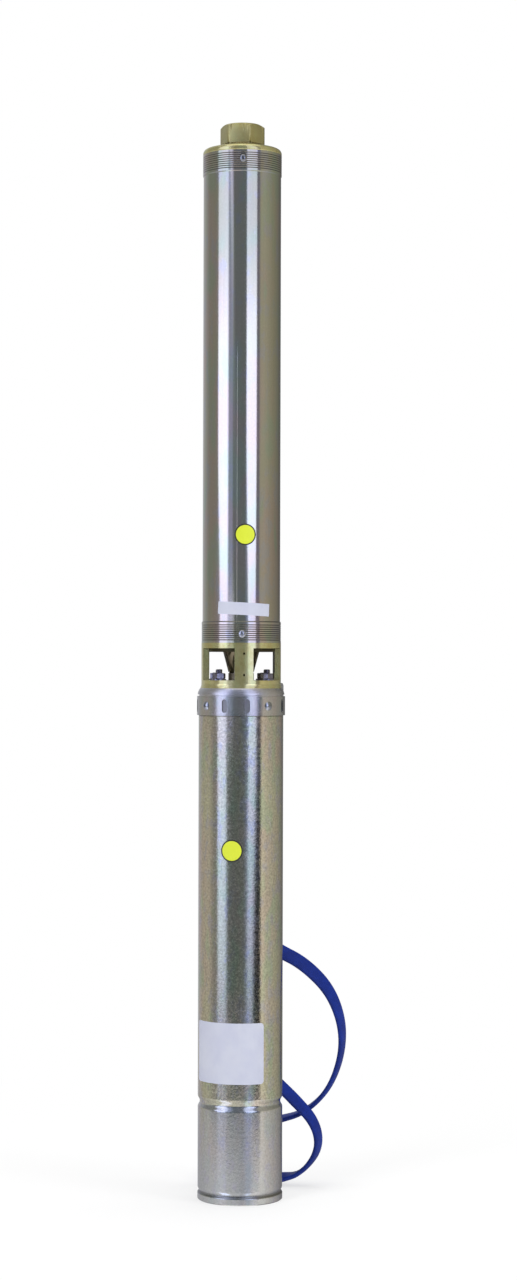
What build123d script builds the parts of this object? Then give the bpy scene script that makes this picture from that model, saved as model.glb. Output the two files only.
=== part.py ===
from build123d import *
import math
import os

# Borehole submersible pump, standing upright. Millimetres, +Z up, origin at the centre of the base.
# Angles called azimuth are counted from the front (-Y) towards the right (+X).

# Motor, outside
motor_r = 48.0
motor_wall = 2.0
cup_height = 111.0
motor_flange_r = 49.2
motor_flange_thickness = 9.0
flange_groove_height = 1.8
flange_groove_r = 47.5
bead_depth = 2.25
bead_half_height = 7.0
foot_rim_r = 48.25
foot_rim_height = 7.0
foot_groove_z = 10.0
foot_groove_depth = 1.3
foot_groove_rise = 4.6
foot_edge = 1.0
foot_cap_gap = 0.2
foot_cap_thickness = 2.0
foot_cap_dish_inset = 11.0
foot_cap_dish_slope = 4.0
foot_cap_rise = 4.0
vent_r = 3.0

# Clamp band round the motor's top
band_thickness = 1.9
band_height = 21.5
band_screw_azimuth = 33.7
band_screw_count = 4
band_dent_pitch = 30.0
band_dent_width = 6.0
band_dent_height = 15.0
band_dent_depth = 1.2
screw_head_r = 5.0
screw_head_height = 2.2
screw_shank_r = 2.5
screw_length = 9.0

# Motor, inside
upper_bracket_depth = 64.6
lower_bracket_rise = 54.0
upper_skirt_rise = 20.0
upper_plate_thickness = 20.6
bracket_hub_r = 26.0
bracket_skirt = 4.0
bracket_web_drop = 17.0
bracket_rim_drop = 9.0
bracket_foot_drop = 19.0
bead_seat_half_height = 10.0
bead_neck_half_height = 4.0
winding_clearance = 12.0
end_winding_height = 28.0
stator_length = 260.0
stator_bore_r = 25.4
air_gap = 0.4
slot_count = 12
slot_inner_r = 30.0
slot_depth = 11.0
slot_width = 7.0
winding_r = 44.0
winding_bore_gap = 3.0
winding_rounding = 6.0
rotor_end_ring_height = 10.0
rotor_end_ring_inset = 3.0
journal_r = 8.5
shaft_core_r = 11.0
shaft_top_r = 8.0
bush_wall = 5.45
upper_bush_length = 24.0
lower_bush_length = 27.0
shaft_float = 1.0
thrust_chamber_r = 30.0
thrust_chamber_drop = 13.0
thrust_carrier_height = 22.0
thrust_carrier_floor = 8.0
thrust_carrier_neck = 10.0
thrust_disc_r = 24.5
thrust_disc_height = 6.0
thrust_pad_height = 7.5
thrust_pad_inner_r = 10.0
thrust_pad_count = 6
thrust_pad_angle = 48.0
thrust_pad_inset = 0.5
seal_cavity_r = 16.0
seal_cavity_height = 20.0
seal_seat_height = 8.0
seal_head_r = 13.0
seal_head_height = 10.0
seal_head_rim = 6.0
seal_head_step = 2.0
coupling_recess_r = 18.0
slinger_r = 16.0
slinger_height = 4.0
slinger_lift = 2.0
slinger_lip = 3.0
slinger_droop = 1.0
membrane_lip_r = 40.0
membrane_lip_wall = 4.0
membrane_lip_length = 12.0
membrane_wall = 2.0
membrane_drop = 46.0
membrane_bead = 1.0
membrane_bead_height = 6.0
membrane_fold_r = 12.0
membrane_fold_rise = 12.0
membrane_corner = 2.0

# Suction connector
connector_r = 45.1
connector_foot_r = 46.3
connector_flange_thickness = 8.9
connector_flare_height = 5.0
connector_bore_r = 20.0
window_height = 36.1
window_lip = 4.0
connector_ring_height = 6.2
pillar_width = 21.0
pillar_depth = 6.8
pillar_hole_r = 1.3
pillar_hole_depth = 2.5
pillar_hole_margin = 6.0
ring_lip = 4.0
ring_cone = 6.0
hub_drop = 26.6
hub_tip_r = 14.5
hub_root_r = 20.5
hub_bore_r = 11.0
hub_rise = 10.4
inlet_bush_inset = 3.0
inlet_rib_count = 6
inlet_rib_width = 4.0
spigot_r = 42.4
spigot_wall = 4.0
spigot_length = 25.2
stud_circle_r = 38.1
stud_r = 4.0
stud_depth = 22.0
stud_stand_out = 12.5
rear_stud_stand_out = 8.6
nut_flats = 13.0
nut_height = 6.5
washer_r = 8.0
washer_thickness = 1.6

# Stages
stage_count = 10
stage_pitch = 46.0
bowl_wall = 2.0
wear_plate = 2.5
eye_r = 17.4
eye_wall = 2.0
impeller_r = 33.0
impeller_floor = 13.0
impeller_outlet = 5.5
impeller_cone_rise = 3.5
impeller_hub_rise = 5.0
shroud_thickness = 1.6
blade_count = 5
blade_thickness = 2.0
blade_turn = -75.0
sleeve_r = 9.0
sleeve_lift = 1.0
shaft_collar_drop = 13.8
shaft_end_rise = 20.0
bowl_hub_floor = 20.5
bowl_hub_rim = 3.5
bowl_hub_r = 35.5
bowl_hub_top = 38.5
bowl_hub_tip_r = 13.0
guide_vane_count = 6
guide_vane_thickness = 2.2
guide_vane_turn = 55.0

# Pump shaft and its bearings
pump_shaft_r = 7.0
coupling_r = 14.5
coupling_stand_off = 1.5
coupling_gap = 2.0
holder_height = 25.0
holder_hub_r = 14.0
holder_rib_width = 3.0
holder_bush_length = 14.0
holder_nose = 2.5
shaft_nut_r = 10.0
shaft_nut_height = 4.5

# Pump casing
casing_r = 44.0
casing_bottom_r = 45.0
casing_top_r = 44.65
casing_inner_r = 42.5
casing_end_length = 24.2
casing_step = 1.0
groove_count = 8
groove_pitch = 2.4
groove_depth = 0.55
groove_half_width = 0.6
groove_margin = 3.2
casing_screw_azimuth = -3.0
casing_screw_setback = 9.8
casing_screw_head_r = 4.2
casing_screw_length = 6.0
casing_screw_hole_depth = 7.0
drill_run_out = 5.0

# Non-return valve
valve_seat_thickness = 7.0
valve_seat_r = 15.5
valve_seat_land = 2.5
valve_chamber_r = 22.0
valve_disc_r = 19.5
valve_disc_thickness = 3.0
valve_boss_r = 5.0
valve_stem_r = 3.0
valve_travel = 7.8
valve_stop_gap = 0.2
valve_guide_height = 5.0
valve_guide_hub_r = 6.0
valve_guide_rib_width = 3.0
valve_guide_rim = 3.0
valve_nose_r = 8.0
valve_nose_drop = 3.5
valve_nose_taper = 1.5
valve_boss_rise = 4.0
valve_stem_stand_out = 0.5

# Discharge head
head_spigot_length = 35.0
head_spigot_wall = 6.4
head_floor = 6.0
chamber_wall = 4.0
chamber_roof_rise = 3.4
chamber_lip = 3.0
chamber_cone = 4.0
head_rim_r = 44.6
head_rim_height = 1.6
head_shoulder_r = 40.5
head_shoulder_height = 7.0
head_cone_height = 4.0
head_undercut = 1.3
head_undercut_r = 24.2
head_cone_step = 1.3
hex_flats = 44.0
hex_height = 22.2
hex_azimuth = -14.0
hex_chamfer = 3.0
hex_face_inset = 1.5
thread_minor_r = 15.15
thread_length = 20.0
passage_r = 14.2

# Cable gland and lead
gland_azimuth = 113.0
gland_width = 18.0
gland_depth = 8.8
gland_stand_out = 0.8
gland_height = 14.8
gland_notch_length = 32.0
gland_notch_depth = 30.0
gland_rounding = 4.0
lead_d = 8.0
lead_z = 576.4
lead_straight = 24.0
coil_centre_x = 10.2
coil_centre_y = 110.0
coil_turn_r = 42.0
coil_band = 19.4
coil_height = 16.4

# Clearances
press_clearance = 0.02
slip_clearance = 0.1
running_clearance = 0.05
free_gap = 0.4
face_gap = 0.3
hole_clearance = 0.5

# Heights that follow from the sizes above
stator_bottom = cup_height + lower_bracket_rise + winding_clearance + end_winding_height
stator_top = stator_bottom + stator_length
upper_hub_bottom = stator_top + end_winding_height + winding_clearance
motor_top = upper_hub_bottom + upper_bracket_depth
lower_hub_top = cup_height + lower_bracket_rise
motor_face = motor_top + motor_flange_thickness
connector_top_of_flange = motor_face + connector_flange_thickness
window_top = connector_top_of_flange + window_height
casing_bottom = window_top + connector_ring_height
stack_bottom = casing_bottom + spigot_length
stack_top = stack_bottom + stage_count * stage_pitch
holder_top = stack_top + holder_height
seat_top = holder_top + valve_seat_thickness
casing_top = seat_top + head_spigot_length
head_cone_bottom = casing_top + head_shoulder_height
hex_bottom = head_cone_bottom + head_cone_height + head_undercut
pump_top = hex_bottom + hex_height
hub_bottom = window_top - hub_drop
seal_seat_top = upper_hub_bottom + upper_bush_length + seal_cavity_height
coupling_top = hub_bottom - hole_clearance
coupling_bottom = seal_seat_top + slinger_lift + slinger_height + coupling_stand_off
coupling_middle = (coupling_bottom + coupling_top) / 2
chamber_top = casing_top + head_rim_height + chamber_roof_rise
bush_r = journal_r + running_clearance + bush_wall
motor_inner_r = motor_r - motor_wall
bracket_r = motor_inner_r - slip_clearance
gland_outer_r = motor_flange_r + gland_stand_out
gland_inner_r = gland_outer_r - gland_depth
thrust_chamber_floor = cup_height - thrust_chamber_drop
membrane_lip_bottom = cup_height - bracket_foot_drop - membrane_lip_length


def turned(points):
    """Solid of revolution about the pump's axis from corners given as (radius, height)."""
    return revolve(Plane.XZ * make_face(Polyline(*points, close=True)), Axis.Z)


def turned_edges(edges):
    """Solid of revolution from a closed outline of edges drawn in (radius, height)."""
    return revolve(Plane.XZ * make_face(Curve() + edges), Axis.Z)


def tube(outer_r, inner_r, low, high):
    return turned([(inner_r, low), (outer_r, low), (outer_r, high), (inner_r, high)])


def rod(radius, low, high):
    return Pos(0, 0, low) * extrude(Circle(radius), amount=high - low)


def ease(start, end):
    """S-shaped edge that leaves and arrives upright, as rolled sheet metal does."""
    half = (end[1] - start[1]) / 2
    return Bezier(start, (start[0], start[1] + half), (end[0], end[1] - half), end)


def around(shape, count, first=0.0):
    """Copies of a piece made at the front, spaced evenly round the pump."""
    return [Rot(0, 0, first + 360 * i / count) * shape for i in range(count)]


def rib(inner_r, outer_r, width, low, high):
    """Flat upright web that runs out from the axis towards the front."""
    length = outer_r - inner_r
    return Pos(0, -(inner_r + length / 2), (low + high) / 2) * Box(width, length, high - low)


def radial_rod(radius, inner_r, outer_r, height):
    """Round bar that points out of the front at the given height."""
    return Pos(0, -inner_r, height) * Rot(90, 0, 0) * extrude(Circle(radius), amount=outer_r - inner_r)


def vane(inner_r, outer_r, turn, thickness, low, high):
    """Curved blade between two radii, its outline two arcs that follow the same sweep."""
    middle_r = (inner_r + outer_r) / 2
    stations = [(inner_r, 0.0), (middle_r, 0.6 * turn), (outer_r, turn)]

    def side(sign):
        corners = []
        for radius, angle in stations:
            a = math.radians(angle) + sign * thickness / 2 / radius
            corners.append((radius * math.cos(a), radius * math.sin(a)))
        return corners

    ahead = side(1)
    behind = side(-1)
    outline = [
        ThreePointArc(*ahead),
        Line(ahead[2], behind[2]),
        ThreePointArc(*behind),
        Line(behind[0], ahead[0]),
    ]
    return Pos(0, 0, low) * extrude(make_face(Curve() + outline), amount=high - low)


# Motor housing
def bottom_cup():
    """Pressed end cup: rolled foot rim, crimp groove, and a lip rolled in at the bead."""
    lip_r = motor_r - bead_depth
    groove_r = motor_r - foot_groove_depth
    shoulder = cup_height - bead_half_height
    groove_top = foot_groove_z + foot_groove_rise
    rim_inner = foot_rim_r - motor_wall
    inner = motor_wall
    return turned_edges([
        Line((rim_inner, 0), (foot_rim_r - foot_edge, 0)),
        Line((foot_rim_r - foot_edge, 0), (foot_rim_r, foot_edge)),
        Line((foot_rim_r, foot_edge), (foot_rim_r, foot_rim_height)),
        ease((foot_rim_r, foot_rim_height), (groove_r, foot_groove_z)),
        ease((groove_r, foot_groove_z), (motor_r, groove_top)),
        Line((motor_r, groove_top), (motor_r, shoulder)),
        ease((motor_r, shoulder), (lip_r, cup_height)),
        Line((lip_r, cup_height), (lip_r - inner, cup_height)),
        ease((lip_r - inner, cup_height), (motor_inner_r, shoulder)),
        Line((motor_inner_r, shoulder), (motor_inner_r, groove_top)),
        ease((motor_inner_r, groove_top), (groove_r - inner, foot_groove_z)),
        ease((groove_r - inner, foot_groove_z), (rim_inner, foot_rim_height)),
        Line((rim_inner, foot_rim_height), (rim_inner, 0)),
    ])


def bottom_cap():
    """Dished base plate that rests on the crimp groove, with a pressure vent in its middle."""
    low = foot_groove_z + foot_groove_rise + foot_cap_gap
    high = low + foot_cap_thickness
    edge_r = motor_inner_r - face_gap
    bend = edge_r - foot_cap_dish_inset
    dish = bend - foot_cap_dish_slope
    return turned([
        (vent_r, low + foot_cap_rise), (dish, low + foot_cap_rise), (bend, low), (edge_r, low),
        (edge_r, high), (bend + 1, high), (dish + 1, high + foot_cap_rise), (vent_r, high + foot_cap_rise),
    ])


def motor_casing():
    """Motor tube, rolled in at its lower end and drilled for the band's screws."""
    lip_r = motor_r - bead_depth
    shoulder = cup_height + bead_half_height
    shell = turned_edges([
        Line((lip_r - motor_wall, cup_height), (lip_r, cup_height)),
        ease((lip_r, cup_height), (motor_r, shoulder)),
        Line((motor_r, shoulder), (motor_r, motor_top)),
        Line((motor_r, motor_top), (motor_inner_r, motor_top)),
        Line((motor_inner_r, motor_top), (motor_inner_r, shoulder)),
        ease((motor_inner_r, shoulder), (lip_r - motor_wall, cup_height)),
    ])
    return shell - band_screw_holes()


def band_screw_height():
    return motor_top - band_height / 2


def band_screw_holes():
    deep = motor_r - screw_length
    hole = radial_rod(screw_shank_r + slip_clearance, deep, motor_r + drill_run_out, band_screw_height())
    return around(hole, band_screw_count, band_screw_azimuth)


def clamp_band():
    """Steel band with crimp dents between its screws."""
    outer_r = motor_r + running_clearance + band_thickness
    band = tube(outer_r, motor_r + running_clearance, motor_top - band_height, motor_top)
    crimp = extrude(SlotOverall(band_dent_height, band_dent_width, rotation=90), amount=2 * band_dent_depth)
    pocket = Pos(0, band_dent_depth - outer_r, band_screw_height()) * Rot(90, 0, 0) * crimp
    for step in (1, 2):
        band -= around(pocket, band_screw_count, band_screw_azimuth + step * band_dent_pitch)
    return band - band_screw_holes()


def domed_screw(head_r, head_height, seat_r, length, height):
    """Pan-head screw that points inwards from a round wall of radius seat_r."""
    crown_r = (head_r ** 2 + head_height ** 2) / (2 * head_height)
    half = math.asin(head_r / crown_r) / 2
    side = (crown_r * math.sin(half), head_height - crown_r * (1 - math.cos(half)))
    outline = [
        Line((0, -length), (screw_shank_r, -length)),
        Line((screw_shank_r, -length), (screw_shank_r, 0)),
        Line((screw_shank_r, 0), (head_r, 0)),
        ThreePointArc((head_r, 0), side, (0, head_height)),
        Line((0, head_height), (0, -length)),
    ]
    return Pos(0, -seat_r, height) * Rot(90, 0, 0) * turned_edges(outline)


def clamp_band_screws():
    seat_r = motor_r + running_clearance + band_thickness + slip_clearance
    screw = domed_screw(screw_head_r, screw_head_height, seat_r, screw_length - 1, band_screw_height())
    return Compound(children=around(screw, band_screw_count, band_screw_azimuth))


def gland_place(radius, along, height):
    """Place out at the cable gland: radius outwards, along the rim towards the rear, and height."""
    return Rot(0, 0, gland_azimuth) * Pos(along, -radius, height)


def gland_notch(low, high):
    """Gap in a flange's rim for the gland, open towards the rear where the lead leaves."""
    inner = gland_inner_r - slip_clearance
    side = gland_width / 2 + slip_clearance
    block = Box(side + gland_notch_length, gland_notch_depth, high - low)
    along = (gland_notch_length - side) / 2
    return gland_place(inner + gland_notch_depth / 2, along, (low + high) / 2) * block


def cable_gland():
    """Moulded boot in the notch of both flanges, rounded on top."""
    depth = gland_outer_r - gland_inner_r
    boot = Box(gland_width, depth, gland_height)
    boot = fillet(boot.edges().filter_by(Axis.Y).group_by(Axis.Z)[-1], gland_rounding)
    return gland_place(gland_inner_r + depth / 2, 0, motor_top + gland_height / 2) * boot


# Motor end brackets
def motor_top_flange():
    """Upper end bracket: face for the pump, seal cavity, bush hub and a skirt in the casing."""
    skirt_bottom = upper_hub_bottom + upper_skirt_rise
    plate_bottom = motor_top - upper_plate_thickness
    cavity_bottom = upper_hub_bottom + upper_bush_length
    cavity_r = seal_cavity_r + press_clearance
    groove_top = motor_top + flange_groove_height
    inside = Curve() + Polyline(
        (motor_flange_r, groove_top), (flange_groove_r, groove_top), (flange_groove_r, motor_top),
        (bracket_r, motor_top), (bracket_r, skirt_bottom), (bracket_r - bracket_skirt, skirt_bottom),
        (bracket_r - bracket_skirt, plate_bottom), (bracket_hub_r, plate_bottom),
        (bracket_hub_r, upper_hub_bottom), (bush_r + press_clearance, upper_hub_bottom),
        (bush_r + press_clearance, cavity_bottom), (cavity_r, cavity_bottom),
        (cavity_r, cavity_bottom + seal_cavity_height), (coupling_recess_r, cavity_bottom + seal_cavity_height),
        (coupling_recess_r, motor_face), (connector_foot_r, motor_face),
    )
    bulge = (motor_flange_r - connector_foot_r) * 0.45
    drop = (motor_face - groove_top) / 3
    shoulder = Bezier(
        (connector_foot_r, motor_face), (connector_foot_r + bulge, motor_face - drop * 0.6),
        (motor_flange_r, motor_face - 2 * drop), (motor_flange_r, groove_top),
    )
    body = turned_edges(inside + shoulder)
    blind = Pos(0, -stud_circle_r, motor_face - stud_depth) * extrude(
        Circle(stud_r + press_clearance), amount=stud_depth)
    body -= around(blind, 4, 45)
    body -= gland_notch(motor_top, motor_face + 1)
    return body - band_screw_holes()


def lower_bracket():
    """Lower end bracket, gripped by the rolled bead, with the thrust chamber under its bush."""
    neck_r = motor_inner_r - bead_depth - face_gap
    inner_r = bush_r + press_clearance
    rim_r = bracket_r - bracket_skirt
    web = lower_hub_top - bracket_web_drop
    rim = lower_hub_top - bracket_rim_drop
    foot = cup_height - bracket_foot_drop
    chamber_roof = lower_hub_top - lower_bush_length
    lip_inner_r = membrane_lip_r - membrane_lip_wall
    return turned([
        (inner_r, lower_hub_top), (bracket_hub_r, lower_hub_top), (bracket_hub_r, web), (rim_r, web),
        (rim_r, rim), (bracket_r, rim), (bracket_r, cup_height + bead_seat_half_height),
        (neck_r, cup_height + bead_neck_half_height), (neck_r, cup_height - bead_neck_half_height),
        (bracket_r, cup_height - bead_seat_half_height), (bracket_r, foot), (membrane_lip_r, foot),
        (membrane_lip_r, membrane_lip_bottom), (lip_inner_r, membrane_lip_bottom),
        (lip_inner_r, thrust_chamber_floor), (thrust_chamber_r, thrust_chamber_floor),
        (thrust_chamber_r, chamber_roof), (inner_r, chamber_roof),
    ])


def pressure_membrane():
    """Rubber bag on the lower bracket's lip that lets the motor's filling expand."""
    top = cup_height - bracket_foot_drop - slip_clearance
    bottom = top - membrane_drop
    neck = membrane_lip_r + slip_clearance
    wall = membrane_wall
    bead = neck + wall + membrane_bead
    edge = neck - membrane_corner
    tip = membrane_fold_r - 2 * wall
    fold = bottom + membrane_fold_rise
    return turned([
        (neck, top), (bead, top), (bead, top - membrane_bead_height), (neck + wall, membrane_lip_bottom),
        (neck + wall, bottom + 3 * membrane_corner), (edge, bottom), (membrane_fold_r, bottom),
        (tip, fold), (0, fold), (0, fold + wall), (tip + wall, fold + wall),
        (membrane_fold_r + wall, bottom + wall), (edge - wall, bottom + wall),
        (neck, bottom + 3 * membrane_corner + wall / 2), (neck, membrane_lip_bottom - wall / 2),
    ])


def shaft_bush(low, length):
    return tube(bush_r, journal_r + running_clearance, low, low + length)


# Thrust bearing under the motor shaft
def thrust_carrier_top():
    return thrust_chamber_floor + thrust_carrier_height


def thrust_carrier():
    """Plug that closes the thrust chamber and carries the pads."""
    floor = thrust_chamber_floor
    edge_r = thrust_chamber_r - running_clearance
    top = thrust_carrier_top()
    step = top - thrust_carrier_neck
    well = floor + thrust_carrier_floor
    return turned([
        (vent_r, floor), (edge_r, floor), (edge_r, step), (thrust_disc_r, step), (thrust_disc_r, top),
        (thrust_pad_inner_r - 1, top), (thrust_pad_inner_r - 1, well), (vent_r, well),
    ])


def thrust_pads():
    """Ring of separate tilting pads."""
    top = thrust_carrier_top()
    ring = tube(thrust_disc_r - thrust_pad_inset, thrust_pad_inner_r, top, top + thrust_pad_height)
    reach = 2 * thrust_disc_r
    half = math.radians(thrust_pad_angle / 2)
    corner = (reach * math.sin(half), -reach * math.cos(half))
    wedge = make_face(Polyline((0, 0), corner, (-corner[0], corner[1]), close=True))
    pad = ring & (Pos(0, 0, top) * extrude(wedge, amount=thrust_pad_height))
    return Compound(children=around(pad, thrust_pad_count))


def thrust_disc():
    low = thrust_carrier_top() + thrust_pad_height + face_gap
    return tube(thrust_disc_r, journal_r + press_clearance, low, low + thrust_disc_height)


# Stator and rotor
def slot_bars(margin):
    """Bars in the stator's slots, shrunk by a margin all round."""
    bar = rib(slot_inner_r + margin, slot_inner_r + slot_depth - margin,
              slot_width - 2 * margin, stator_bottom, stator_top)
    return around(bar, slot_count, 180 / slot_count)


def stator_core():
    return tube(bracket_r, stator_bore_r, stator_bottom, stator_top) - slot_bars(0)


def stator_winding():
    """Copper winding: bundled end turns joined by the bars in the slots."""
    inner = stator_bore_r + winding_bore_gap
    winding = Part()
    for base, sign in ((stator_bottom, -1), (stator_top, 1)):
        far = base + sign * end_winding_height
        bend = far - sign * winding_rounding
        winding += turned([
            (inner, base), (winding_r, base), (winding_r, bend), (winding_r - winding_rounding, far),
            (inner + winding_rounding, far), (inner, bend),
        ])
    return winding + slot_bars(face_gap)


def rotor_core():
    """Laminated core with its cast end rings."""
    outer = stator_bore_r - air_gap
    ring = outer - rotor_end_ring_inset
    bore = shaft_core_r + press_clearance
    low = stator_bottom - rotor_end_ring_height
    high = stator_top + rotor_end_ring_height
    return turned([
        (bore, low), (ring, low), (ring, stator_bottom), (outer, stator_bottom),
        (outer, stator_top), (ring, stator_top), (ring, high), (bore, high),
    ])


def seal_head_bottom():
    return seal_seat_top - seal_seat_height - slip_clearance - seal_head_height


def motor_shaft():
    """Stepped shaft from the thrust disc to the coupling."""
    low = thrust_carrier_top() + thrust_pad_height / 2
    core_low = lower_hub_top + shaft_float
    core_high = upper_hub_bottom - shaft_float
    top = coupling_middle - coupling_gap / 2
    return turned([
        (0, low), (journal_r, low), (journal_r, core_low), (shaft_core_r, core_low),
        (shaft_core_r, core_high), (journal_r, core_high), (journal_r, seal_head_bottom()),
        (shaft_top_r, seal_head_bottom()), (shaft_top_r, top), (0, top),
    ])


# Shaft seal
def seal_seat():
    top = seal_seat_top
    return tube(seal_cavity_r, shaft_top_r + free_gap, top - seal_seat_height, top)


def seal_head():
    low = seal_head_bottom()
    rim = low + seal_head_rim
    high = low + seal_head_height
    inner_r = shaft_top_r + press_clearance
    neck_r = seal_head_r - seal_head_step
    return turned([
        (inner_r, low), (seal_head_r, low), (seal_head_r, rim), (neck_r, rim + seal_head_step / 2),
        (neck_r, high), (inner_r, high),
    ])


def sand_slinger():
    """Rubber lip on the shaft that throws sand away from the seal."""
    low = seal_seat_top + slinger_lift
    high = low + slinger_height
    inner_r = shaft_top_r + press_clearance
    return turned([
        (inner_r, low), (slinger_r - slinger_lip, low), (slinger_r, low - slinger_droop),
        (slinger_r, low + slinger_droop / 2), (slinger_r - slinger_lip, low + slinger_height / 2),
        (shaft_top_r + slinger_lip, high), (inner_r, high),
    ])


# Suction connector and its fastenings
def connector_pillar():
    """Front pillar between the flange and the ring, part of the round wall, with two pin holes."""
    wall = tube(connector_r, connector_r - pillar_depth, connector_top_of_flange, window_top)
    height = window_top - connector_top_of_flange
    slab = Pos(0, -connector_r, connector_top_of_flange + height / 2) * Box(pillar_width, 3 * pillar_depth, height)
    return wall & slab


def suction_connector():
    """Brass casting: flange, four pillars, ring with spigot, and a hub carried on ribs."""
    inner = connector_r - pillar_depth
    plate_bottom = window_top - window_lip
    flare_top = motor_face + connector_flare_height
    flange = turned_edges([
        Line((connector_bore_r, motor_face), (connector_foot_r, motor_face)),
        Bezier((connector_foot_r, motor_face), (connector_r, motor_face + connector_flare_height / 2),
               (connector_r, flare_top)),
        Line((connector_r, flare_top), (connector_r, connector_top_of_flange)),
        Line((connector_r, connector_top_of_flange), (connector_bore_r, connector_top_of_flange)),
        Line((connector_bore_r, connector_top_of_flange), (connector_bore_r, motor_face)),
    ])
    lip_r = inner - ring_lip
    spigot_inner_r = spigot_r - spigot_wall
    ring = turned([
        (lip_r, plate_bottom), (inner, plate_bottom), (inner, window_top), (connector_r, window_top),
        (connector_r, casing_bottom), (spigot_r, casing_bottom), (spigot_r, stack_bottom),
        (spigot_inner_r, stack_bottom), (spigot_inner_r, casing_bottom + ring_cone), (lip_r, casing_bottom),
    ])
    hub_top = casing_bottom + hub_rise
    hub = turned([
        (hub_bore_r, hub_bottom), (hub_tip_r, hub_bottom), (hub_root_r, plate_bottom),
        (hub_root_r, casing_bottom), (hub_tip_r + 1, hub_top), (hub_bore_r, hub_top),
    ])
    web = rib(hub_tip_r, lip_r + 1, inlet_rib_width, plate_bottom, casing_bottom + ring_lip)
    casting = flange + ring + hub + around(connector_pillar(), 4) + around(web, inlet_rib_count)
    hole = Pos(0, -stud_circle_r, motor_face) * extrude(
        Circle(stud_r + hole_clearance), amount=connector_flange_thickness)
    casting -= around(hole, 4, 45)
    casting -= gland_notch(motor_face - 1, connector_top_of_flange + 1)
    casting -= screw_hole_bottom()
    for height in (connector_top_of_flange + pillar_hole_margin, window_top - pillar_hole_margin):
        casting -= radial_rod(pillar_hole_r, connector_r - pillar_hole_depth, connector_r + 1, height)
    return casting


def inlet_bush():
    low = hub_bottom + inlet_bush_inset
    high = casing_bottom + hub_rise - inlet_bush_inset
    return tube(hub_bore_r - press_clearance, pump_shaft_r + running_clearance, low, high)


def flange_studs():
    low = motor_face - stud_depth
    studs = []
    for stand_out, azimuths in ((stud_stand_out, (-45, 45)), (rear_stud_stand_out, (-135, 135))):
        high = connector_top_of_flange + stand_out
        stud = Pos(0, -stud_circle_r, low) * extrude(Circle(stud_r), amount=high - low)
        studs += [Rot(0, 0, azimuth) * stud for azimuth in azimuths]
    return Compound(children=studs)


def flange_washers():
    disc = Circle(washer_r) - Circle(stud_r + slip_clearance)
    washer = Pos(0, -stud_circle_r, connector_top_of_flange) * extrude(disc, amount=washer_thickness)
    return Compound(children=around(washer, 4, 45))


def flange_nuts():
    low = connector_top_of_flange + washer_thickness
    hexagon = RegularPolygon(nut_flats / 2, 6, major_radius=False)
    nut = extrude(hexagon - Circle(stud_r + press_clearance), amount=nut_height)
    return Compound(children=around(Pos(0, -stud_circle_r, low) * nut, 4, 45))


def shaft_coupling():
    """Sleeve that joins the motor shaft below to the pump shaft above."""
    lower = shaft_top_r + press_clearance
    upper = pump_shaft_r + press_clearance
    return turned([
        (lower, coupling_bottom), (coupling_r - 1, coupling_bottom), (coupling_r, coupling_bottom + 1),
        (coupling_r, coupling_top - 1), (coupling_r - 1, coupling_top), (upper, coupling_top),
        (upper, coupling_middle), (lower, coupling_middle),
    ])


# Stages
def stage_base(index):
    return stack_bottom + index * stage_pitch


def impeller():
    """Closed impeller: eye ring, conical front shroud, back plate, sleeve and swept blades."""
    inner = eye_r - eye_wall
    cone_foot = wear_plate + shroud_thickness
    outlet_floor = impeller_floor - impeller_outlet + impeller_cone_rise - sleeve_lift
    back_rim = outlet_floor + impeller_outlet
    front = turned([
        (inner, sleeve_lift), (eye_r, sleeve_lift), (eye_r, cone_foot),
        (impeller_r, outlet_floor - shroud_thickness), (impeller_r, outlet_floor),
        (inner, cone_foot + shroud_thickness),
    ])
    back = turned([
        (sleeve_r - 1, impeller_floor), (impeller_r, back_rim), (impeller_r, back_rim + shroud_thickness),
        (sleeve_r - 1, impeller_floor + impeller_hub_rise),
    ])
    sleeve = tube(sleeve_r, pump_shaft_r + press_clearance, sleeve_lift, sleeve_lift + stage_pitch)
    blade = vane(sleeve_r + eye_wall, impeller_r - 0.5, blade_turn, blade_thickness, 0, stage_pitch / 2)
    passage = turned([
        (sleeve_r, cone_foot + 0.5), (inner - 1, cone_foot + 0.5),
        (impeller_r, outlet_floor - shroud_thickness / 2), (impeller_r, back_rim + shroud_thickness / 2),
        (sleeve_r, impeller_floor + 2),
    ])
    blades = [piece & passage for piece in around(blade, blade_count)]
    return front + back + sleeve + blades


def stage_bowl():
    """Stage bowl: outer wall, wear plate, hub over the impeller and curved guide vanes."""
    inner = spigot_r - bowl_wall
    eye_hole = eye_r + free_gap
    wall = turned([
        (eye_hole, 0), (spigot_r, 0), (spigot_r, stage_pitch), (inner, stage_pitch),
        (inner, wear_plate), (eye_hole, wear_plate),
    ])
    hub = turned([
        (sleeve_r + free_gap, bowl_hub_floor), (bowl_hub_r, bowl_hub_floor),
        (bowl_hub_r, bowl_hub_floor + bowl_hub_rim), (bowl_hub_tip_r, bowl_hub_top),
        (sleeve_r + free_gap, bowl_hub_top),
    ])
    blade = vane(bowl_hub_tip_r, inner + bowl_wall / 2, guide_vane_turn, guide_vane_thickness,
                 bowl_hub_floor + 1, stage_pitch)
    above_hub = turned([
        (bowl_hub_tip_r - 1, bowl_hub_top - 2), (bowl_hub_r - 1, bowl_hub_floor + 1),
        (inner + bowl_wall / 2, bowl_hub_floor + 1), (inner + bowl_wall / 2, stage_pitch),
        (bowl_hub_tip_r - 1, stage_pitch),
    ])
    vanes = [piece & above_hub for piece in around(blade, guide_vane_count)]
    return wall + hub + vanes


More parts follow.
